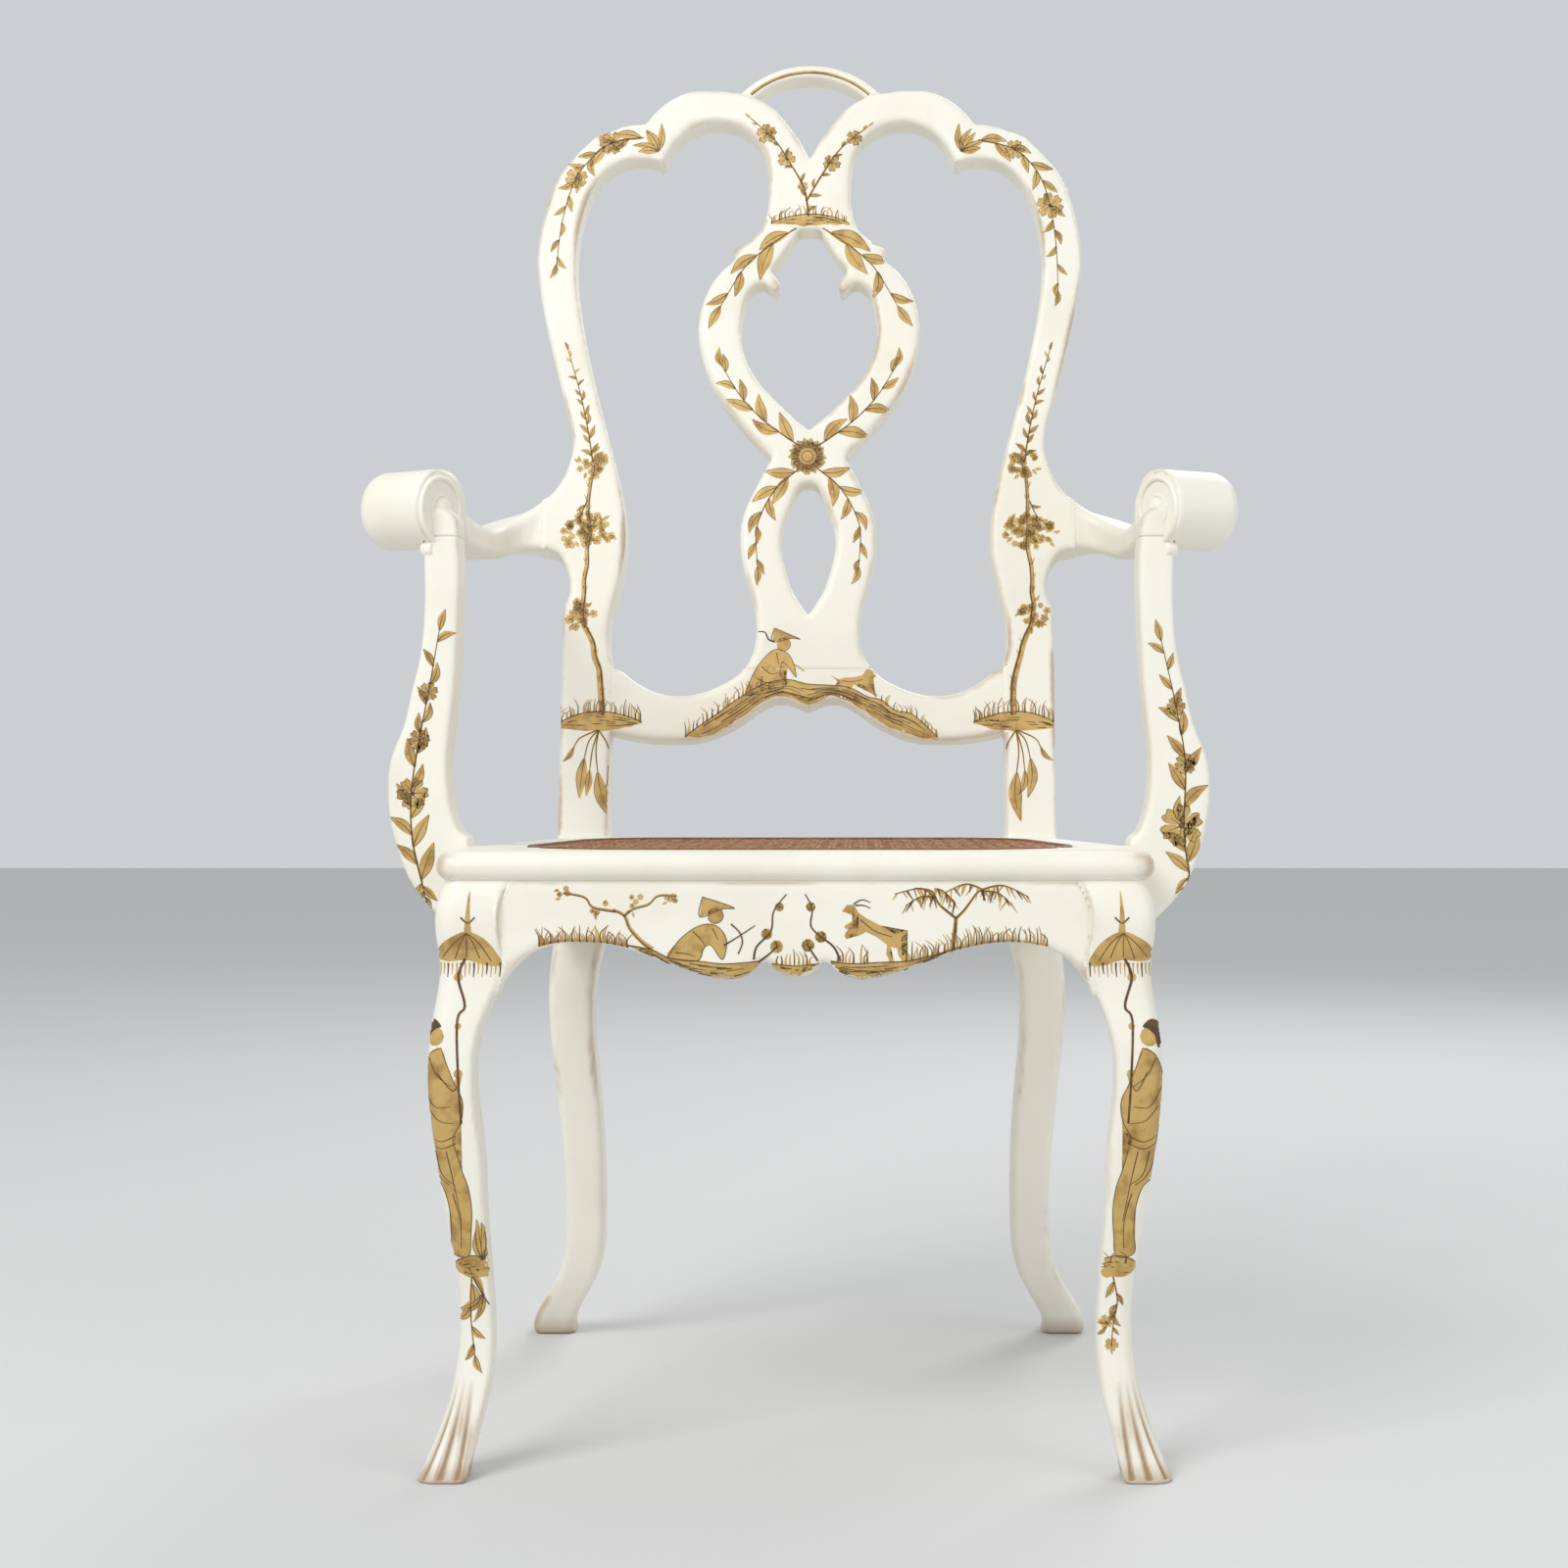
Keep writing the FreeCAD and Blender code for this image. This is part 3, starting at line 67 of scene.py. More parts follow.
class Sheet:
    """Lays out the nodes of one shader tree."""

    def __init__(self, tree: bpy.types.NodeTree) -> None:
        """Keeps the tree that the nodes go into."""
        self.tree = tree

    def add(self, kind: str, settings: dict | None = None, **inputs: object) -> bpy.types.Node:
        """Adds a node.

        Args:
            kind: Blender's name of the node's type.
            settings: Properties of the node itself.
            **inputs: Values or sockets for its inputs, with spaces as underscores.

        Returns:
            The new node.
        """
        node = self.tree.nodes.new(kind)
        for name, value in (settings or {}).items():
            setattr(node, name, value)
        for name, value in inputs.items():
            self.feed(node.inputs[name.replace("_", " ")], value)
        return node

    def feed(self, socket: bpy.types.NodeSocket, value: object) -> None:
        """Sets a socket to a value, or links another socket to it.

        Args:
            socket: The input to set.
            value: A plain value, or an output to link.
        """
        if isinstance(value, bpy.types.NodeSocket):
            self.tree.links.new(value, socket)
        else:
            socket.default_value = value

    def maths(self, operation: str, first: object, second: object = 0.0) -> bpy.types.NodeSocket:
        """Adds a clamped calculation with two values and returns its result.

        Args:
            operation: Blender's name of the calculation.
            first: A value or a socket.
            second: Another one.

        Returns:
            The result, kept from 0 to 1.
        """
        node = self.add("ShaderNodeMath", {"operation": operation, "use_clamp": True})
        self.feed(node.inputs[0], first)
        self.feed(node.inputs[1], second)
        return node.outputs[0]

    def mix(self, share: object, first: object, second: object) -> bpy.types.NodeSocket:
        """Adds a colour mix and returns its result.

        Args:
            share: Share of the second colour.
            first: A colour or a socket.
            second: Another one.

        Returns:
            The mixed colour.
        """
        node = self.add("ShaderNodeMix", {"data_type": "RGBA"})
        self.feed(node.inputs[0], share)
        self.feed(node.inputs[6], first)
        self.feed(node.inputs[7], second)
        return node.outputs[2]

    def span(self, value: object, low: float, high: float) -> bpy.types.NodeSocket:
        """Adds a smooth step of a value from low to high and returns its result.

        Args:
            value: The socket to read.
            low: Where the step starts.
            high: Where it ends.

        Returns:
            The result, from 0 to 1.
        """
        node = self.add("ShaderNodeMapRange", {"interpolation_type": "SMOOTHSTEP"}, Value=value)
        node.inputs["From Min"].default_value = low
        node.inputs["From Max"].default_value = high
        return node.outputs["Result"]


class Effects:
    """Shader groups that several finishes share, each made once."""

    def __init__(self) -> None:
        """Makes the groups."""
        self.rub = self.make_rub()
        self.mottle = self.make_mottle()

    @staticmethod
    def blank(name: str, inputs: dict[str, str], outputs: dict[str, str]) -> bpy.types.NodeTree:
        """Makes an empty group.

        Args:
            name: The group's name.
            inputs: Socket types by input name.
            outputs: Socket types by output name.

        Returns:
            The new group.
        """
        group = bpy.data.node_groups.new(name, "ShaderNodeTree")
        for label, kind in inputs.items():
            group.interface.new_socket(label, in_out="INPUT", socket_type=kind)
        for label, kind in outputs.items():
            group.interface.new_socket(label, in_out="OUTPUT", socket_type=kind)
        return group

    def make_rub(self) -> bpy.types.NodeTree:
        """Makes the group that breaks an edge value up into worn patches.

        Returns:
            The new group.
        """
        number, vector = "NodeSocketFloat", "NodeSocketVector"
        inputs = {"Vector": vector, "Edge": number, "Scale": number, "Reach": number}
        group = self.blank("edge rub", inputs, {"Mask": number})
        sheet = Sheet(group)
        given = sheet.add("NodeGroupInput").outputs
        noise = sheet.add(
            "ShaderNodeTexNoise", Vector=given["Vector"], Scale=given["Scale"], Detail=3.0, Roughness=0.55)
        patch = sheet.span(noise.outputs["Fac"], 0.4, 0.68)
        worn = sheet.maths("MULTIPLY", given["Edge"], given["Reach"])
        lifted = sheet.maths("ADD", worn, sheet.maths("MULTIPLY", patch, 0.5))
        raised = sheet.span(lifted, 0.5, 1.15)
        mask = sheet.maths("MULTIPLY", raised, sheet.span(given["Edge"], 0.3, 0.95))
        sheet.feed(sheet.add("NodeGroupOutput").inputs["Mask"], mask)
        return group

    def make_mottle(self) -> bpy.types.NodeTree:
        """Makes the group of soft blotches and fine brush marks.

        Returns:
            The new group.
        """
        number, vector = "NodeSocketFloat", "NodeSocketVector"
        group = self.blank(
            "hand mottle", {"Vector": vector, "Scale": number}, {"Blotch": number, "Fine": number})
        sheet = Sheet(group)
        given = sheet.add("NodeGroupInput").outputs
        broad = sheet.add(
            "ShaderNodeTexNoise", Vector=given["Vector"], Scale=given["Scale"], Detail=5.0, Roughness=0.6)
        fine_scale = sheet.add("ShaderNodeMath", {"operation": "MULTIPLY"})
        sheet.feed(fine_scale.inputs[0], given["Scale"])
        sheet.feed(fine_scale.inputs[1], 14.0)
        fine = sheet.add(
            "ShaderNodeTexNoise",
            Vector=given["Vector"], Scale=fine_scale.outputs[0], Detail=4.0, Roughness=0.7)
        out = sheet.add("NodeGroupOutput")
        sheet.feed(out.inputs["Blotch"], sheet.span(broad.outputs["Fac"], 0.42, 0.7))
        sheet.feed(out.inputs["Fine"], fine.outputs["Fac"])
        return group


# Finishes

@dataclass(frozen=True)
class Finish:
    """Common start of every finish: a Principled shader on Object coordinates."""

    name: str
    roughness: float

    def start(self) -> tuple[bpy.types.Material, Sheet, bpy.types.Node, bpy.types.NodeSocket]:
        """Makes the material.

        Returns:
            The material, its sheet, its shader and its Object coordinates.
        """
        material = bpy.data.materials.new(self.name)
        material.use_nodes = True
        sheet = Sheet(material.node_tree)
        shader = material.node_tree.nodes["Principled BSDF"]
        shader.inputs["Roughness"].default_value = self.roughness
        place = sheet.add("ShaderNodeTexCoord").outputs["Object"]
        return material, sheet, shader, place

    @staticmethod
    def bump(
            sheet: Sheet, shader: bpy.types.Node, height: object, strength: float, depth: float) -> None:
        """Roughens the shader's normal by a height.

        Args:
            sheet: The material's sheet.
            shader: Its shader.
            height: The height's socket.
            strength: Strength of the bump.
            depth: Its depth in metres.
        """
        node = sheet.add("ShaderNodeBump", Strength=strength, Distance=depth, Height=height)
        sheet.feed(shader.inputs["Normal"], node.outputs["Normal"])

    @staticmethod
    def effect(sheet: Sheet, group: bpy.types.NodeTree, **inputs: object) -> bpy.types.Node:
        """Places a shared group in the material.

        Args:
            sheet: The material's sheet.
            group: The shared group.
            **inputs: Values or sockets for the group's inputs.

        Returns:
            The group's node.
        """
        node = sheet.add("ShaderNodeGroup", {"node_tree": group})
        for name, value in inputs.items():
            sheet.feed(node.inputs[name], value)
        return node


@dataclass(frozen=True)
class Lacquer(Finish):
    """Cream lacquer with an amber glaze in its hollows and edges rubbed to the wood."""

    cream: Colour = (0.880, 0.850, 0.745, 1.0)
    glaze: Colour = (0.720, 0.640, 0.470, 1.0)
    rubbed: Colour = (0.420, 0.250, 0.115, 1.0)
    stained: Colour = (0.300, 0.155, 0.045, 1.0)
    mark_scale: float = 9.0
    wear_scale: float = 11.0
    wear_reach: float = 0.6
    blotch_share: float = 0.26
    hollow_share: float = 0.5
    rubbed_share: float = 0.68
    stained_share: float = 0.85
    smoother: float = 0.08
    rougher: float = 0.12
    bump_strength: float = 0.18
    bump_depth: float = 0.0006

    def make(self, effects: Effects) -> bpy.types.Material:
        """Makes the material from the shared effects.

        Args:
            effects: The shared shader groups.

        Returns:
            The new material.
        """
        material, sheet, shader, place = self.start()
        edge, hollow, stain = (
            sheet.add("ShaderNodeAttribute", {"attribute_name": name}).outputs["Fac"]
            for name in ("rub", "hollow", "stain"))
        marks = self.effect(sheet, effects.mottle, Vector=place, Scale=self.mark_scale)
        wear = self.effect(
            sheet, effects.rub, Vector=place, Edge=edge, Scale=self.wear_scale, Reach=self.wear_reach)
        blotch = sheet.maths("MULTIPLY", marks.outputs["Blotch"], self.blotch_share)
        aged = sheet.maths("ADD", blotch, sheet.maths("MULTIPLY", hollow, self.hollow_share))
        colour = sheet.mix(aged, self.cream, self.glaze)
        worn = sheet.maths("MULTIPLY", wear.outputs["Mask"], self.rubbed_share)
        colour = sheet.mix(worn, colour, self.rubbed)
        colour = sheet.mix(sheet.maths("MULTIPLY", stain, self.stained_share), colour, self.stained)
        sheet.feed(shader.inputs["Base Color"], colour)
        rough = sheet.add("ShaderNodeMapRange", Value=marks.outputs["Fine"])
        rough.inputs["To Min"].default_value = self.roughness - self.smoother
        rough.inputs["To Max"].default_value = self.roughness + self.rougher
        sheet.feed(shader.inputs["Roughness"], rough.outputs["Result"])
        self.bump(sheet, shader, marks.outputs["Fine"], self.bump_strength, self.bump_depth)
        return material


@dataclass(frozen=True)
class Mottled(Finish):
    """Two colours that blend in uneven marks: gilt, ink, cane, bare wood or steel."""

    light: Colour
    dark: Colour
    scale: float = 120.0
    stretch: tuple[float, float, float] = (1.0, 1.0, 1.0)
    metallic: float = 0.0
    bump_strength: float = 0.0
    bump_depth: float = 0.0004

    def make(self, effects: Effects) -> bpy.types.Material:
        """Makes the material from the shared effects.

        Args:
            effects: The shared shader groups.

        Returns:
            The new material.
        """
        material, sheet, shader, place = self.start()
        stretched = sheet.add("ShaderNodeMapping", Vector=place, Scale=self.stretch)
        marks = self.effect(sheet, effects.mottle, Vector=stretched.outputs["Vector"], Scale=self.scale)
        sheet.feed(shader.inputs["Base Color"], sheet.mix(marks.outputs["Blotch"], self.light, self.dark))
        shader.inputs["Metallic"].default_value = self.metallic
        if self.bump_strength > 0:
            self.bump(sheet, shader, marks.outputs["Fine"], self.bump_strength, self.bump_depth)
        return material


class Coat(Enum):
    """The finishes of the chair. Those that are slots of the record have the slot's name."""

    LACQUER = "painted_frame"
    GILT = "gilt"
    INK = "ink"
    CANE = "cane"
    REED = "reed"
    BARE = "bare_wood"
    STEEL = "screw_steel"


class Paintbox:
    """All materials of the chair, by coat."""

    def __init__(self) -> None:
        """Makes the materials."""
        effects = Effects()
        finishes = {
            Coat.LACQUER: Lacquer("cream lacquer", 0.42),
            Coat.GILT: Mottled(
                "ochre gilt", 0.48, (0.600, 0.395, 0.130, 1.0), (0.370, 0.210, 0.055, 1.0), 60.0,
                metallic=0.25, bump_strength=0.25, bump_depth=0.0003),
            Coat.INK: Mottled(
                "brown line", 0.6, (0.080, 0.038, 0.012, 1.0), (0.190, 0.095, 0.030, 1.0), 90.0),
            Coat.CANE: Mottled(
                "stained cane", 0.45, (0.420, 0.185, 0.075, 1.0), (0.190, 0.070, 0.026, 1.0),
                bump_strength=0.3),
            Coat.REED: Mottled(
                "stained reed", 0.5, (0.22, 0.085, 0.03, 1.0), (0.11, 0.04, 0.016, 1.0), bump_strength=0.3),
            Coat.BARE: Mottled(
                "bare beech", 0.65, (0.50, 0.31, 0.16, 1.0), (0.36, 0.20, 0.09, 1.0), 70.0,
                stretch=(1.0, 0.12, 1.0), bump_strength=0.3),
            Coat.STEEL: Mottled(
                "screw steel", 0.4, (0.45, 0.44, 0.42, 1.0), (0.24, 0.22, 0.20, 1.0), 140.0, metallic=1.0),
        }
        self.materials = {coat: finish.make(effects) for coat, finish in finishes.items()}

    def paint(self, piece: bpy.types.Object, coat: Coat) -> None:
        """Gives a piece its only material."""
        piece.data.materials.clear()
        piece.data.materials.append(self.materials[coat])


# Shared steps of all pieces

def linked(name: str, mesh: bpy.types.Mesh) -> bpy.types.Object:
    """Puts a mesh in the scene as a piece.

    Args:
        name: The piece's name.
        mesh: Its mesh, in the row frame.

    Returns:
        The new object.
    """
    piece = bpy.data.objects.new(name, mesh)
    bpy.context.scene.collection.objects.link(piece)
    return piece


def poured(name: str, body: bmesh.types.BMesh) -> bpy.types.Object:
    """Turns a body under construction into a piece of the scene, and frees it.

    Args:
        name: The piece's name.
        body: The body, in the row frame.

    Returns:
        The new object.
    """
    mesh = bpy.data.meshes.new(name)
    body.to_mesh(mesh)
    body.free()
    return linked(name, mesh)


def settle(piece: bpy.types.Object) -> None:
    """Puts a finished piece on the chair's only body.

    Args:
        piece: The finished piece.
    """
    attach(piece, BODY)
    log.info("finished %s, %d faces", piece.name, len(piece.data.polygons))


def merged_copy(node: str) -> bmesh.types.BMesh:
    """Copies a CAD node's mesh with its loose triangles merged.

    Args:
        node: The CAD node.

    Returns:
        The copy, for the caller to free.
    """
    copy = bmesh.new()
    copy.from_mesh(frame["nodes"][node].data)
    bmesh.ops.remove_doubles(copy, verts=copy.verts, dist=0.01 * MM)
    return copy


# Carved frame

class Skin:
    """The vertices of an even mesh as arrays, for smoothing and carving."""

    def __init__(self, mesh: bpy.types.Mesh) -> None:
        """Reads points and edges from a mesh.

        Args:
            mesh: The even mesh.
        """
        self.mesh = mesh
        count = len(mesh.vertices)
        self.points = np.empty(count * 3)
        mesh.vertices.foreach_get("co", self.points)
        self.points = self.points.reshape(-1, 3)
        edges = np.empty(len(mesh.edges) * 2, dtype=np.int64)
        mesh.edges.foreach_get("vertices", edges)
        self.starts, self.ends = edges.reshape(-1, 2).T
        self.degree = np.bincount(edges, minlength=count).astype(float)

    def average(self, values: np.ndarray) -> np.ndarray:
        """Mean of each vertex's neighbours.

        Args:
            values: One value or one row for each vertex.

        Returns:
            The means, in the same shape.
        """
        count = len(self.degree)
        columns = values.reshape(count, -1)
        total = np.empty_like(columns)
        for axis in range(columns.shape[1]):
            column = columns[:, axis]
            total[:, axis] = np.bincount(self.starts, column[self.ends], count)
            total[:, axis] += np.bincount(self.ends, column[self.starts], count)
        return (total / self.degree[:, None]).reshape(values.shape)

    def normals(self) -> np.ndarray:
        """Vertex normals of the points as they are now.

        Returns:
            One row for each vertex.
        """
        self.store()
        normals = np.empty(len(self.points) * 3)
        self.mesh.vertices.foreach_get("normal", normals)
        return normals.reshape(-1, 3)

    def store(self) -> None:
        """Writes the points back to the mesh."""
        self.mesh.vertices.foreach_set("co", self.points.ravel())
        self.mesh.update()

    def ridge(self, rounds: int) -> np.ndarray:
        """How far each point stands out from its smoothed surroundings, in metres.

        Args:
            rounds: Rounds of smoothing.

        Returns:
            One height for each vertex, negative in hollows.
        """
        smooth = self.points
        for _ in range(rounds):
            smooth = (smooth + self.average(smooth)) / 2
        return np.einsum("ij,ij->i", self.points - smooth, self.normals())

    def relax(self, weight: np.ndarray, rounds: int) -> None:
        """Smooths the points by a weight of 0 to 1 for each."""
        for _ in range(rounds):
            self.points += (weight * 0.5)[:, None] * (self.average(self.points) - self.points)

    def note(self, name: str, values: np.ndarray) -> None:
        """Stores a value of 0 to 1 for each vertex under a name."""
        layer = self.mesh.attributes.new(name, "FLOAT", "POINT")
        layer.data.foreach_set("value", np.clip(values, 0, 1).astype(np.float32))


Carving = Callable[[np.ndarray, np.ndarray], tuple[np.ndarray, np.ndarray]]


@dataclass
class CarvedFrame:
    """All painted wooden pieces: their CAD forms with the soft edges of carved and painted wood."""

    grain: float = 1.9 * MM
    fine_grain: float = 1.35 * MM
    edge_reach: int = 6
    edge_spread: int = 3
    edge_weight: float = 1.3
    edge_rounds: int = 16
    rest_weight: float = 0.5
    rest_rounds: int = 3
    sharp_low: float = 0.16 * MM
    sharp_high: float = 0.42 * MM
    wear_depth: float = 0.55 * MM
    wear_reach: int = 10
    joint_reach: float = 2.6 * MM
    joint_depth: float = 2.2 * MM
    joint_rounds: int = 5
    opposed: float = -0.9
    toe_depth: float = 2.4 * MM
    toe_width: float = 1.7 * MM
    toe_height: float = 56 * MM
    toe_root: float = 62 * MM
    toe_start: float = 22 * MM
    toe_angles: tuple[float, ...] = (-27.0, -13.5, 0.0, 13.5, 27.0)
    sole: float = 3 * MM
    front_stain: float = 18 * MM
    rear_stain: float = 26 * MM
    still_zone: float = 2.4 * MM
    contact: float = 0.3 * MM
    fine_nodes: tuple[str, ...] = ("arm_", "crest_arch", "front_leg")
    pieces: dict[str, bpy.types.Object] = field(default_factory=dict)

    def nodes(self) -> list[str]:
        """Names of the CAD nodes that carry the lacquer."""
        return [s["node"] for s in frame["record"]["subparts"] if s["material_slot"] == Coat.LACQUER.value]

    def toes(self, node: str) -> Carving:
        """Grooves between the toes of a front foot.

        Args:
            node: The front leg.

        Returns:
            A carving that takes points and normals and gives new points and a stain for each.
        """
        low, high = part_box(node)
        side = 1.0 if low[0] > 0 else -1.0
        tip = Vector((high[0] if side > 0 else low[0], low[1], 0))
        heel = tip + Vector((-side, 1, 0)).normalized() * self.toe_root
        ahead = (tip - heel).normalized()

        def carve(points: np.ndarray, normals: np.ndarray) -> tuple[np.ndarray, np.ndarray]:
            """Cuts the grooves into the points."""
            out = points[:, :2] - np.array(heel[:2])
            forward = out @ np.array(ahead[:2])
            across = out @ np.array((-ahead[1], ahead[0]))
            angle = np.degrees(np.arctan2(across, forward))
            reach = np.hypot(forward, across)
            height = points[:, 2]
            fade = np.clip(1.25 - height / self.toe_height, 0, 1) * (reach > self.toe_start) * (forward > 0)
            cut = np.zeros(len(points))
            for toe in self.toe_angles:
                gap = np.radians(angle - toe) * reach
                cut = np.maximum(cut, np.exp(-((gap / self.toe_width) ** 2)))
            cut = cut * np.clip(fade * 1.4, 0, 1) * (height > self.sole)
            moved = points - normals * (cut * self.toe_depth)[:, None]
            stain = np.clip(cut * 1.1 + np.clip(0.8 - height / self.front_stain, 0, 0.6), 0, 1)
            return moved, stain

        return carve

    def close(self, skin: Skin, later: BVHTree) -> None:
        """Runs the joint faces of a piece a little way into its neighbours, so that no seam stays open.

        Args:
            skin: The piece's vertices.
            later: Surfaces of the neighbours that it runs into.
        """
        own = skin.normals()
        ways = np.zeros_like(skin.points)
        share = np.zeros(len(skin.points))
        for index, point in enumerate(skin.points):
            place, facing, _, gap = later.find_nearest(point, self.joint_reach)
            if place is None:
                continue
            share[index] = min(1.0, (self.joint_reach - gap) / (self.joint_reach * 0.5))
            if gap > self.contact:
                ways[index] = (np.array(place) - point) / gap
            elif np.dot(own[index], facing) < self.opposed:
                ways[index] = own[index]
        for _ in range(self.joint_rounds):
            ways = np.where((share > 0)[:, None], ways + skin.average(ways), 0)
            length = np.linalg.norm(ways, axis=1, keepdims=True)
            ways = np.divide(ways, length, out=np.zeros_like(ways), where=length > 1e-6)
        skin.points += ways * (share * self.joint_depth)[:, None]

    def even_skin(self, node: str) -> Skin:
        """Copies a CAD node as an even mesh with its vertices on the CAD surface.

        Args:
            node: The CAD node.

        Returns:
            The vertices of the copy.
        """
        source = merged_copy(node)
        surface = BVHTree.FromBMesh(source)
        draft = poured(node + "_draft", source)
        even = draft.modifiers.new("even skin", "REMESH")
        even.mode = "VOXEL"
        even.voxel_size = self.fine_grain if node.startswith(self.fine_nodes) else self.grain
        graph = bpy.context.evaluated_depsgraph_get()
        mesh = bpy.data.meshes.new_from_object(draft.evaluated_get(graph))
        mesh.name = node + "_painted"
        bpy.data.objects.remove(draft)
        skin = Skin(mesh)
        for index, point in enumerate(skin.points):
            skin.points[index] = surface.find_nearest(point)[0]
        return skin

    def build(self, node: str, others: BVHTree, later: BVHTree) -> bpy.types.Object:
        """Makes the carved piece of one CAD node.

        Args:
            node: The CAD node.
            others: Surfaces of all other painted nodes, at which edges stay sharp.
            later: Surfaces of the nodes that this one closes its joints with.

        Returns:
            The carved piece.
        """
        skin = self.even_skin(node)
        at_joint = np.array([others.find_nearest(p, self.still_zone)[0] is not None for p in skin.points])
        raised = skin.ridge(self.edge_reach) - self.sharp_low
        sharp = np.clip(raised / (self.sharp_high - self.sharp_low), 0, 1)
        for _ in range(self.edge_spread):
            sharp = np.maximum(sharp, skin.average(sharp))
        skin.relax(np.where(at_joint, 0.0, np.clip(sharp * self.edge_weight, 0, 1)), self.edge_rounds)
        skin.relax(np.where(at_joint, 0.0, self.rest_weight), self.rest_rounds)
        stain = np.zeros(len(skin.points))
        if node.startswith("front_leg"):
            skin.points, stain = self.toes(node)(skin.points, skin.normals())
        elif node.startswith("rear_post"):
            stain = np.clip(0.7 - skin.points[:, 2] / self.rear_stain, 0, 0.6)
        ridge = skin.ridge(self.wear_reach) / self.wear_depth
        self.close(skin, later)
        skin.store()
        skin.note("rub", np.where(at_joint, 0.0, ridge))
        skin.note("hollow", np.where(at_joint, 0.0, -ridge))
        skin.note("stain", stain)
        skin.mesh.shade_smooth()
        piece = linked(node + "_painted", skin.mesh)
        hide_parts(node)
        return piece

    def dress(self, paintbox: Paintbox) -> None:
        """Builds and paints every piece.

        Args:
            paintbox: The chair's materials.
        """
        names = self.nodes()
        for index, name in enumerate(names):
            rest, later = bmesh.new(), bmesh.new()
            for place, other in enumerate(names):
                if other != name:
                    rest.from_mesh(frame["nodes"][other].data)
                if place > index and not (name.startswith("arm_") and other.startswith("arm_post")):
                    later.from_mesh(frame["nodes"][other].data)
            piece = self.build(name, BVHTree.FromBMesh(rest), BVHTree.FromBMesh(later))
            rest.free()
            later.free()
            paintbox.paint(piece, Coat.LACQUER)
            settle(piece)
            self.pieces[name] = piece


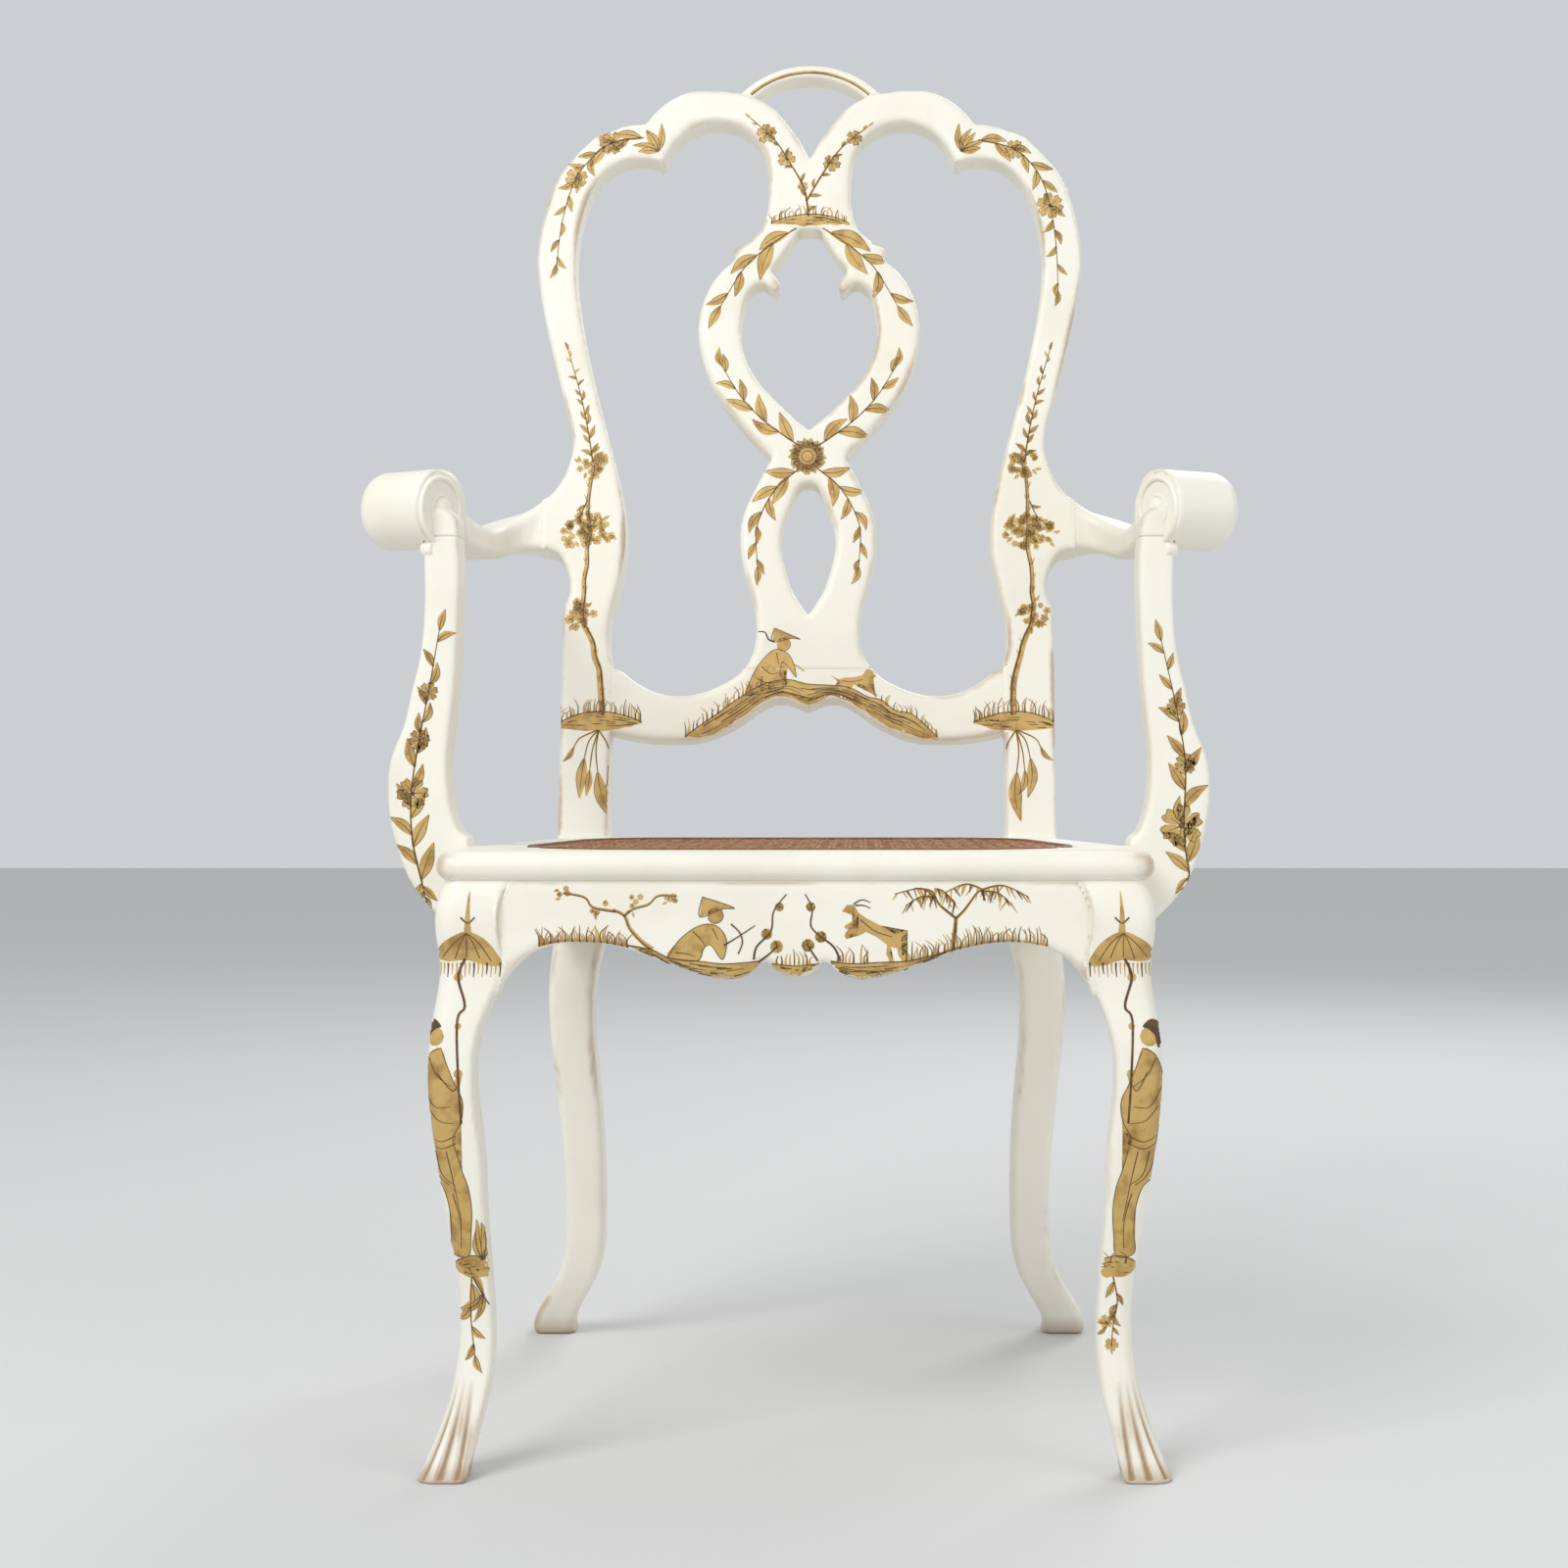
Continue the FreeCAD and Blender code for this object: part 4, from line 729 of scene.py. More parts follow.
@dataclass
class Volute:
    """Raised spiral, eye, low shield and curled lip on the inner end of each arm's scroll."""

    radius: float = 29.5 * MM
    out: float = 31.0 * MM
    centre: tuple[float, float, float] = (294 * MM, -131.6 * MM, 693.5 * MM)
    splay: float = 30.0
    bead: float = 2.3 * MM
    eye: float = 8.5 * MM
    eye_flat: float = 0.55
    turns: float = 1.55
    first_angle: float = -75.0
    steps: int = 96
    ring: int = 12
    shield_sunk: float = 2 * MM
    shield_inset: float = 1.2 * MM
    shield_flat: float = 0.09
    lip_radius: float = 6.5 * MM
    lip_depth: float = 10 * MM
    lip_edge: float = 2 * MM
    # Forward, out of the end face and up, from the lowest point of the end face
    lip_place: tuple[float, float, float] = (9 * MM, -5 * MM, -1.5 * MM)

    def end_face(self, side: float) -> tuple[Vector, Vector, Vector]:
        """Middle of the end face, its forward direction and the direction that it faces.

        Args:
            side: 1 for the right arm, -1 for the left one.

        Returns:
            The place and both directions.
        """
        turn = math.radians(self.splay)
        ahead = Vector((side * math.sin(turn), -math.cos(turn), 0))
        facing = Vector((-side * math.cos(turn), -math.sin(turn), 0))
        x, y, z = self.centre
        return Vector((side * x, y, z)) + facing * self.out, ahead, facing

    def spiral(self, body: bmesh.types.BMesh, side: float) -> None:
        """Sweeps the bead along the spiral, with its ends closed.

        Args:
            body: The mesh that takes the bead.
            side: 1 for the right arm, -1 for the left one.
        """
        middle, ahead, facing = self.end_face(side)
        last = None
        for step in range(self.steps + 1):
            share = step / self.steps
            angle = math.radians(self.first_angle) + share * self.turns * 2 * math.pi
            reach = self.radius - self.bead * 1.2 - share ** 1.2 * (self.radius - self.bead - self.eye)
            ray = ahead * math.cos(angle) + Vector((0, 0, math.sin(angle)))
            thick = self.bead * (1.0 - 0.45 * share)
            hub = middle + ray * reach
            loop = []
            for turn in range(self.ring):
                around = 2 * math.pi * turn / self.ring
                spot = hub + ray * thick * math.cos(around) + facing * thick * math.sin(around)
                loop.append(body.verts.new(spot))
            if last is None:
                body.faces.new(loop)
            else:
                for turn in range(self.ring):
                    after = (turn + 1) % self.ring
                    body.faces.new((last[turn], last[after], loop[after], loop[turn]))
            last = loop
        body.faces.new(last[::-1])

    def build(self, side: float) -> bpy.types.Object:
        """Makes the carved end of one scroll.

        Args:
            side: 1 for the right arm, -1 for the left one.

        Returns:
            The new piece.
        """
        body = bmesh.new()
        middle, ahead, facing = self.end_face(side)
        self.spiral(body, side)
        turn = facing.to_track_quat("Z", "Y").to_matrix().to_4x4()
        shield = middle - facing * self.shield_sunk
        shield_radius = self.radius - self.shield_inset
        domes = ((middle, self.eye, self.eye_flat), (shield, shield_radius, self.shield_flat))
        for place, size, flat in domes:
            shape = Matrix.Translation(place) @ turn @ Matrix.Diagonal((1, 1, flat, 1))
            bmesh.ops.create_uvsphere(body, u_segments=36, v_segments=18, radius=size, matrix=shape)
        forward, outward, upward = self.lip_place
        lip = middle + facing * outward + ahead * forward - Vector((0, 0, self.radius - upward))
        tip = bmesh.ops.create_cone(
            body, cap_ends=True, segments=28, radius1=self.lip_radius, radius2=self.lip_radius,
            depth=self.lip_depth, matrix=Matrix.Translation(lip) @ turn)
        rims = {edge for vert in tip["verts"] for edge in vert.link_edges if len(edge.link_faces) == 2
                and max(len(face.verts) for face in edge.link_faces) > 4}
        bmesh.ops.bevel(
            body, geom=list(rims), offset=self.lip_edge, offset_type="OFFSET", affect="EDGES", segments=4,
            profile=0.5, material=-1)
        bmesh.ops.recalc_face_normals(body, faces=body.faces)
        piece = poured("volute_right" if side > 0 else "volute_left", body)
        piece.data.shade_smooth()
        return piece

    def dress(self, paintbox: Paintbox) -> None:
        """Builds and paints both volutes.

        Args:
            paintbox: The chair's materials.
        """
        for side in (1.0, -1.0):
            piece = self.build(side)
            paintbox.paint(piece, Coat.LACQUER)
            settle(piece)


# Cane seat

@dataclass
class CaneSeat:
    """Six-way woven cane inside its reed: pairs across and along, and single strands on both diagonals."""

    pitch: float = 12.0 * MM
    strand: float = 1.9 * MM
    diagonal: float = 2.3 * MM
    pair_gap: float = 3.4 * MM
    thick: float = 0.55 * MM
    lift: float = 0.5 * MM
    tuck: float = 2.0 * MM
    probe_drop: float = 0.4 * MM
    fewest_pitches: int = 3
    drift: float = 0.999
    reed: BVHTree | None = None

    def reach(self, start: Vector, way: Vector) -> float | None:
        """Distance from a point to the reed along a direction."""
        return self.reed.ray_cast(start, way)[3]

    def chord(self, middle: Vector, way: Vector) -> tuple[Vector, Vector] | None:
        """Ends of a strand through a point, tucked under the reed.

        Args:
            middle: A point of the strand inside the reed.
            way: The strand's direction.

        Returns:
            Both ends, or None where the strand would be too short.
        """
        ahead, behind = self.reach(middle, way), self.reach(middle, -way)
        if ahead is None or behind is None or ahead + behind < self.fewest_pitches * self.pitch:
            return None
        return middle - way * (behind + self.tuck), middle + way * (ahead + self.tuck)

    def weave(
            self, bm: bmesh.types.BMesh, ends: tuple[Vector, Vector], width: float, phase: float) -> None:
        """Lays one strand that rises and sinks over the strands that it crosses.

        Args:
            bm: The mesh that takes the strand.
            ends: Both ends of the strand.
            width: Width of the strand.
            phase: Where in its rise it starts.
        """
        start, end = ends
        way = (end - start).normalized()
        side = Vector((-way.y, way.x, 0)) * (width / 2)
        length = (end - start).length
        steps = max(2, int(length / (self.pitch / 2)))
        thick = Vector((0, 0, self.thick / 2))
        corners = (side + thick, -side + thick, -side - thick, side - thick)
        ring = [bm.verts.new(start + corner) for corner in corners]
        face = bm.faces.new(ring)
        rise = 0.0
        for step in range(1, steps + 1):
            grown = bmesh.ops.extrude_discrete_faces(bm, faces=[face])["faces"]
            face = grown[0]
            along = length / steps
            height = self.lift * math.sin(phase + step * math.pi * along / self.pitch * self.drift)
            bmesh.ops.translate(bm, verts=face.verts, vec=way * along + Vector((0, 0, height - rise)))
            rise = height
        bm.faces.new(ring[::-1])

    def build(self) -> list[bpy.types.Object]:
        """Makes the woven strands, one piece for each direction.

        Returns:
            The pieces of cane.
        """
        reed = merged_copy("cane_reed")
        self.reed = BVHTree.FromBMesh(reed)
        reed.free()
        low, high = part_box("cane_panel")
        reed_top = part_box("cane_reed")[1][2]
        level = (low[2] + high[2]) / 2
        probe = (level + reed_top) / 2 - self.probe_drop
        centre = Vector(((low[0] + high[0]) / 2, (low[1] + high[1]) / 2, probe))
        half_x, half_y = (high[0] - low[0]) / 2, (high[1] - low[1]) / 2
        runs = {
            "across": (Vector((1, 0, 0)), Vector((0, 1, 0)), half_y, self.pitch, True, 0.0),
            "along": (Vector((0, 1, 0)), Vector((1, 0, 0)), half_x, self.pitch, True, math.pi),
            "rising": (Vector((1, 1, 0)).normalized(), Vector((-1, 1, 0)).normalized(), half_x + half_y,
                       self.pitch / math.sqrt(2), False, math.pi / 2),
            "falling": (Vector((1, -1, 0)).normalized(), Vector((1, 1, 0)).normalized(), half_x + half_y,
                        self.pitch / math.sqrt(2), False, -math.pi / 2),
        }
        pieces = []
        for name, (way, step, half, pitch, paired, phase) in runs.items():
            bm = bmesh.new()
            count = int(half / pitch) + 1
            for index in range(-count, count + 1):
                offsets = (-self.pair_gap / 2, self.pair_gap / 2) if paired else (pitch / 2,)
                for twin, offset in enumerate(offsets):
                    middle = centre + step * (index * pitch + offset)
                    ends = self.chord(middle, way)
                    if ends is None:
                        continue
                    drop = Vector((0, 0, level - probe))
                    width = self.strand if paired else self.diagonal
                    turn = phase + math.pi * (index + twin)
                    self.weave(bm, (ends[0] + drop, ends[1] + drop), width, turn)
            bmesh.ops.recalc_face_normals(bm, faces=bm.faces)
            pieces.append(poured("cane_" + name, bm))
        return pieces

    def dress(self, paintbox: Paintbox) -> None:
        """Builds the weave, paints it and finishes the reed.

        Args:
            paintbox: The chair's materials.
        """
        for piece in self.build():
            paintbox.paint(piece, Coat.CANE)
            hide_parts("cane_panel")
            settle(piece)
        paintbox.paint(frame["nodes"]["cane_reed"], Coat.REED)


class Hardware:
    """Dowels, blocks and screws, which keep their CAD forms."""

    @staticmethod
    def dress(paintbox: Paintbox) -> None:
        """Gives each hidden piece its finish.

        Args:
            paintbox: The chair's materials.
        """
        coats = {Coat.BARE.value: Coat.BARE, Coat.STEEL.value: Coat.STEEL}
        for entry in frame["record"]["subparts"]:
            coat = coats.get(entry["material_slot"])
            if coat is not None:
                paintbox.paint(frame["nodes"][entry["node"]], coat)
                log.info("finished %s", entry["node"])


# Painted ornament

def turned(start: Point, angle: float, length: float) -> Point:
    """Place a length away from a start along an angle in degrees."""
    way = math.radians(angle)
    return start[0] + length * math.cos(way), start[1] + length * math.sin(way)


def smooth_line(points: Sequence[Point], closed: bool = False, cuts: int = 4) -> list[Point]:
    """Rounds a line of points off.

    Args:
        points: The points that the line passes through.
        closed: Whether it ends where it starts.
        cuts: Steps between two points.

    Returns:
        The points of the rounded line.
    """
    count = len(points)
    line = []
    for index in range(count if closed else count - 1):
        spots = [index + k if closed else min(max(index + k, 0), count - 1) for k in (-1, 0, 1, 2)]
        a, b, c, d = (points[spot % count] for spot in spots)
        for step in range(cuts):
            t = step / cuts
            line.append(tuple(
                0.5 * (2 * q + (r - p) * t
                       + (2 * p - 5 * q + 4 * r - s) * t * t + (3 * q - p - 3 * r + s) * t ** 3)
                for p, q, r, s in zip(a, b, c, d)))
    return line if closed else line + [points[-1]]


class Brush:
    """Draws flat shapes, in millimetres across and up, and presses them on to the wood as thin paint."""

    lifts = {Coat.GILT: 0.14 * MM, Coat.INK: 0.30 * MM}
    film = 0.25 * MM
    longest = 3.0 * MM
    torn = 7.0 * MM
    rounds = 7
    glance = -0.2
    start_y = -1.0

    def __init__(self, name: str, wood: Iterable[bpy.types.Object], seed: int) -> None:
        """Starts an ornament on some pieces of wood.

        Args:
            name: The ornament's name.
            wood: The pieces that take the paint.
            seed: Start of the ornament's random draws.
        """
        self.name = name
        self.chance = random.Random(seed)
        self.layers = {coat: bmesh.new() for coat in self.lifts}
        board = bmesh.new()
        for piece in wood:
            board.from_mesh(piece.data)
        self.board = BVHTree.FromBMesh(board)
        board.free()
        self.side = 1.0

    def point(self, layer: bmesh.types.BMesh, place: Point) -> bmesh.types.BMVert:
        """Adds a vertex at a flat place."""
        return layer.verts.new((self.side * place[0] * MM, self.start_y, place[1] * MM))

    def fill(self, outline: Sequence[Point], coat: Coat = Coat.GILT, soft: bool = True) -> None:
        """Paints the inside of a closed outline.

        Args:
            outline: Corners of the outline.
            coat: The paint.
            soft: Whether the outline is rounded off.
        """
        layer = self.layers[coat]
        points = smooth_line(outline, True, 3) if soft else outline
        layer.faces.new([self.point(layer, p) for p in points])

    def stroke(self, points: Sequence[Point], start: float, end: float, coat: Coat = Coat.INK) -> None:
        """Paints a line that changes from one width to another.

        Args:
            points: Points that the line passes through.
            start: Width at the first point.
            end: Width at the last point.
            coat: The paint.
        """
        layer = self.layers[coat]
        line = smooth_line(points, cuts=5)
        last = None
        for index, (x, y) in enumerate(line):
            before, after = line[max(index - 1, 0)], line[min(index + 1, len(line) - 1)]
            dx, dy = after[0] - before[0], after[1] - before[1]
            reach = math.hypot(dx, dy) or 1.0
            half = (start + (end - start) * index / (len(line) - 1)) / 2
            pair = [
                self.point(layer, (x - s * dy / reach * half, y + s * dx / reach * half)) for s in (1, -1)]
            if last is not None:
                layer.faces.new((last[0], last[1], pair[1], pair[0]))
            last = pair

    def stem(self, points: Sequence[Point], gilt: Point, ink: Point) -> None:
        """Paints a gilt line with a dark one along it, each from one width to another."""
        self.stroke(points, *gilt, Coat.GILT)
        self.stroke(points, *ink)

    def disc(self, centre: Point, radius: float, coat: Coat = Coat.GILT) -> None:
        """Paints a round spot."""
        self.fill([turned(centre, angle, radius) for angle in range(0, 360, 36)], coat, False)

    def leaf(self, base: Point, angle: float, length: float, width: float) -> None:
        """Paints a curved pointed leaf with its midrib.

        Args:
            base: Where the leaf grows.
            angle: Its direction in degrees.
            length: Its length.
            width: Its greatest width.
        """
        bend = self.chance.uniform(-16, 16)
        spine = [base]
        for step in range(4):
            spine.append(turned(spine[-1], angle + bend * step, length / 4))
        way = angle + bend * 1.5
        halves = [share * width / 2 for share in (0.2, 0.85, 1.0, 0.6)]
        left = [turned(point, way + 90, half) for point, half in zip(spine, halves)]
        right = [turned(point, way - 90, half) for point, half in zip(spine, halves)]
        self.fill(left + [spine[-1]] + right[::-1])
        if length > 7:
            self.stroke(spine[:4], 0.7, 0.3)
            self.stroke(right + [spine[-1]], 0.4, 0.3)

    def trunk(self, points: Sequence[Point], start: float, end: float) -> None:
        """Paints a knotty trunk with a dark side and marks of bark.

        Args:
            points: Points up the trunk.
            start: Width at the foot.
            end: Width at the top.
        """
        line = smooth_line(points, cuts=3)
        rough = [(x + self.chance.uniform(-0.9, 0.9), y) for x, y in line]
        self.stroke(rough, start, end, Coat.GILT)
        self.stroke([(x + start * 0.22, y) for x, y in rough], start * 0.24, end * 0.3)
        for x, y in rough[1:-2]:
            side = self.chance.choice((-1, 1))
            twig = [(x, y), (x + side * start * 0.3, y + 2.5), (x + side * start * 0.5, y + 6)]
            self.stroke(twig, 1.6, 0.4, Coat.GILT)
            self.stroke([(x - 0.8, y + 3), (x - 0.4, y + 6)], 0.6, 0.3)

    def spray(
            self, stem: Sequence[Point], count: int, leaf: float, start: float = 1.6,
            lean: float = 42.0) -> None:
        """Paints a stem with leaves on alternate sides that shrink to its end.

        Args:
            stem: Points of the stem.
            count: Number of leaves.
            leaf: Length of the first leaf.
            start: Width of the stem at its foot.
            lean: Angle between stem and leaves.
        """
        line = smooth_line(stem, cuts=8)
        self.stem(stem, (start, 0.7), (start * 0.45, 0.35))
        for index in range(count):
            share = (index + 0.7) / count
            place = int(share * (len(line) - 2))
            (x0, y0), (x1, y1) = line[place], line[place + 1]
            way = math.degrees(math.atan2(y1 - y0, x1 - x0))
            turn = (lean if index % 2 else -lean) * self.chance.uniform(0.75, 1.2)
            size = leaf * (1.0 - 0.5 * share) * self.chance.uniform(0.85, 1.15)
            self.leaf((x0, y0), way + turn, size, size * 0.34)
        (x0, y0), (x1, y1) = line[-3], line[-1]
        self.leaf(line[-1], math.degrees(math.atan2(y1 - y0, x1 - x0)), leaf * 0.6, leaf * 0.2)

    def flower(self, centre: Point, radius: float, petals: int = 5) -> None:
        """Paints an open flower with notched petals and a dark eye.

        Args:
            centre: Middle of the flower.
            radius: Its radius.
            petals: Number of petals.
        """
        start = self.chance.uniform(0, 360)
        for index in range(petals):
            angle = start + 360 * index / petals
            spread = 160 / petals
            base = turned(centre, angle, radius * 0.12)
            outline = [
                base,
                turned(centre, angle + spread, radius * 0.72), turned(centre, angle + spread * 0.5, radius),
                turned(centre, angle, radius * 0.9), turned(centre, angle - spread * 0.5, radius),
                turned(centre, angle - spread, radius * 0.72)]
            self.fill(outline)
            if radius > 6:
                self.stroke([base, turned(centre, angle, radius * 0.62)], 0.5, 0.3)
                self.stroke(outline[1:], 0.35, 0.35)
        if radius > 3.2 or self.chance.random() < 0.4:
            self.disc(centre, max(radius * 0.15, 0.6), Coat.INK)

    def rosette(self, centre: Point, radius: float, petals: int) -> None:
        """Paints a round flower of many narrow petals around a ringed middle.

        Args:
            centre: Middle of the flower.
            radius: Its radius.
            petals: Number of petals.
        """
        self.disc(centre, radius * 0.82)
        for index in range(petals):
            angle = 360 * index / petals
            self.leaf(turned(centre, angle, radius * 0.45), angle, radius * 0.55, radius * 0.36)
            between = angle + 180 / petals
            self.stroke([turned(centre, between, radius * share) for share in (0.32, 0.6, 0.86)], 0.3, 0.5)
        self.stroke([turned(centre, angle, radius * 0.28) for angle in range(0, 375, 15)], 0.6, 0.6)

    def cluster(self, centre: Point, radius: float, count: int) -> None:
        """Paints a bunch of small blossoms and leaves.

        Args:
            centre: Middle of the bunch.
            radius: Its radius.
            count: Number of blossoms and leaves.
        """
        for index in range(count):
            around = self.chance.uniform(0, 360)
            place = turned(centre, around, radius * math.sqrt(self.chance.random()) * 0.9)
            if index % 3 == 2:
                angle = around + self.chance.uniform(-50, 50)
                self.leaf(place, angle, max(radius * 0.45, 4.0), max(radius * 0.2, 1.8))
            else:
                self.flower(place, max(radius * self.chance.uniform(0.18, 0.3), 2.1))

    def grass(self, foot: Sequence[Point], count: int, height: float) -> None:
        """Paints blades along a line of ground.

        Args:
            foot: Line of the ground.
            count: Number of blades.
            height: Height of the tallest blade.
        """
        line = smooth_line(foot, cuts=10)
        for index in range(count):
            place = line[int((index + self.chance.random()) / count * (len(line) - 1))]
            angle = 90 + self.chance.uniform(-28, 28)
            size = height * self.chance.uniform(0.45, 1.0)
            tip = turned(place, angle, size)
            middle = turned(place, 90, size * 0.5)
            coat = Coat.INK if index % 3 == 0 else Coat.GILT
            width = 2.0 if coat is Coat.GILT else 1.1
            self.stroke([turned(place, -90, 0.8), middle, tip], width, 0.3, coat)

    def frond(self, spine: Sequence[Point], count: int, drop: float) -> None:
        """Paints a drooping branch with a fringe of hanging leaves.

        Args:
            spine: Points along the branch.
            count: Number of leaves.
            drop: Length of a leaf.
        """
        self.stem(spine, (1.8, 0.6), (0.8, 0.4))
        line = smooth_line(spine, cuts=8)
        for index in range(count):
            place = line[int((index + 0.5) / count * (len(line) - 1))]
            angle = -90 + self.chance.uniform(-38, 38)
            size = drop * self.chance.uniform(0.6, 1.1)
            coat = Coat.INK if index % 4 == 0 else Coat.GILT
            hanging = [place, turned(place, angle, size * 0.5), turned(place, angle, size)]
            self.stroke(hanging, 1.7, 0.4, coat)

    def mound(self, top: Sequence[Point], foot: Sequence[Point]) -> None:
        """Paints a bank of ground between its top line and its foot line, with hatching.

        Args:
            top: Top line, from left to right.
            foot: Foot line, from left to right.
        """
        rough = smooth_line(list(top) + list(reversed(foot)), True, 3)
        shaken = [tuple(value + self.chance.uniform(-0.8, 0.8) for value in place) for place in rough]
        self.fill(shaken, soft=False)
        self.stroke(top, 0.7, 0.6)
        upper, lower = smooth_line(top, cuts=6), smooth_line(foot, cuts=6)
        for _ in range(max(8, len(upper) * 3 // 4)):
            share = self.chance.uniform(0.06, 0.86)
            depth = self.chance.uniform(0.2, 0.85)
            hatch = []
            for step in (0.0, 0.05, 0.1):
                a = upper[int((share + step) * (len(upper) - 1))]
                b = lower[int((share + step) * (len(lower) - 1))]
                hatch.append(tuple(p + (q - p) * depth for p, q in zip(a, b)))
            self.stroke(hatch, 0.7, 0.3)

    def robe(self, outline: Sequence[Point], folds: Sequence[Sequence[Point]]) -> None:
        """Paints a robe with its folds and a dark outline.

        Args:
            outline: Corners of the robe.
            folds: Lines of its folds.
        """
        self.fill(outline)
        self.stroke(list(outline) + [outline[0]], 0.5, 0.5)
        for fold in folds:
            self.stroke(fold, 0.8, 0.35)

    def head(self, centre: Point, radius: float, hat: Sequence[Point]) -> None:
        """Paints a plain head under a wide hat.

        Args:
            centre: Middle of the head.
            radius: Its radius.
            hat: Corners of the hat.
        """
        self.disc(centre, radius)
        self.stroke([turned(centre, a, radius) for a in range(200, 420, 40)], 0.4, 0.4)
        self.fill(hat, soft=False)
        self.stroke(list(hat) + [hat[0]], 0.55, 0.55)

    def refine(self, layer: bmesh.types.BMesh) -> None:
        """Splits the triangles of a drawing whose edges are too long to follow the wood.

        Args:
            layer: The drawing.
        """
        bmesh.ops.triangulate(layer, faces=layer.faces)
        for _ in range(self.rounds):
            long = [edge for edge in layer.edges if edge.calc_length() > self.longest]
            if long:
                bmesh.ops.subdivide_edges(layer, edges=long, cuts=1)
                bmesh.ops.triangulate(layer, faces=[face for face in layer.faces if len(face.verts) > 3])

    def lay(self, layer: bmesh.types.BMesh, lift: float) -> None:
        """Moves a drawing back on to the wood, and drops what misses it or spans a gap.

        Args:
            layer: The drawing.
            lift: Its height over the wood.
        """
        lost = []
        for vert in layer.verts:
            hit, normal, _, _ = self.board.ray_cast(vert.co, Vector((0, 1, 0)))
            if hit is None or normal.y > self.glance:
                lost.append(vert)
            else:
                vert.co = hit + normal * lift
        bmesh.ops.delete(layer, geom=lost, context="VERTS")
        ripped = [face for face in layer.faces if max(e.calc_length() for e in face.edges) > self.torn]
        bmesh.ops.delete(layer, geom=ripped, context="FACES")
        loose = [vert for vert in layer.verts if not vert.link_faces]
        bmesh.ops.delete(layer, geom=loose, context="VERTS")
        for face in layer.faces:
            face.normal_update()
            if face.normal.y > 0:
                face.normal_flip()

    def press(self, paintbox: Paintbox) -> None:
        """Makes one piece of each paint, as a thin film on the wood.

        Args:
            paintbox: The chair's materials.
        """
        for coat, layer in self.layers.items():
            self.refine(layer)
            self.lay(layer, self.lifts[coat])
            bmesh.ops.solidify(layer, geom=layer.faces[:], thickness=self.film)
            bmesh.ops.recalc_face_normals(layer, faces=layer.faces)
            piece = poured(f"{self.name}_{coat.value}", layer)
            paintbox.paint(piece, coat)
            settle(piece)


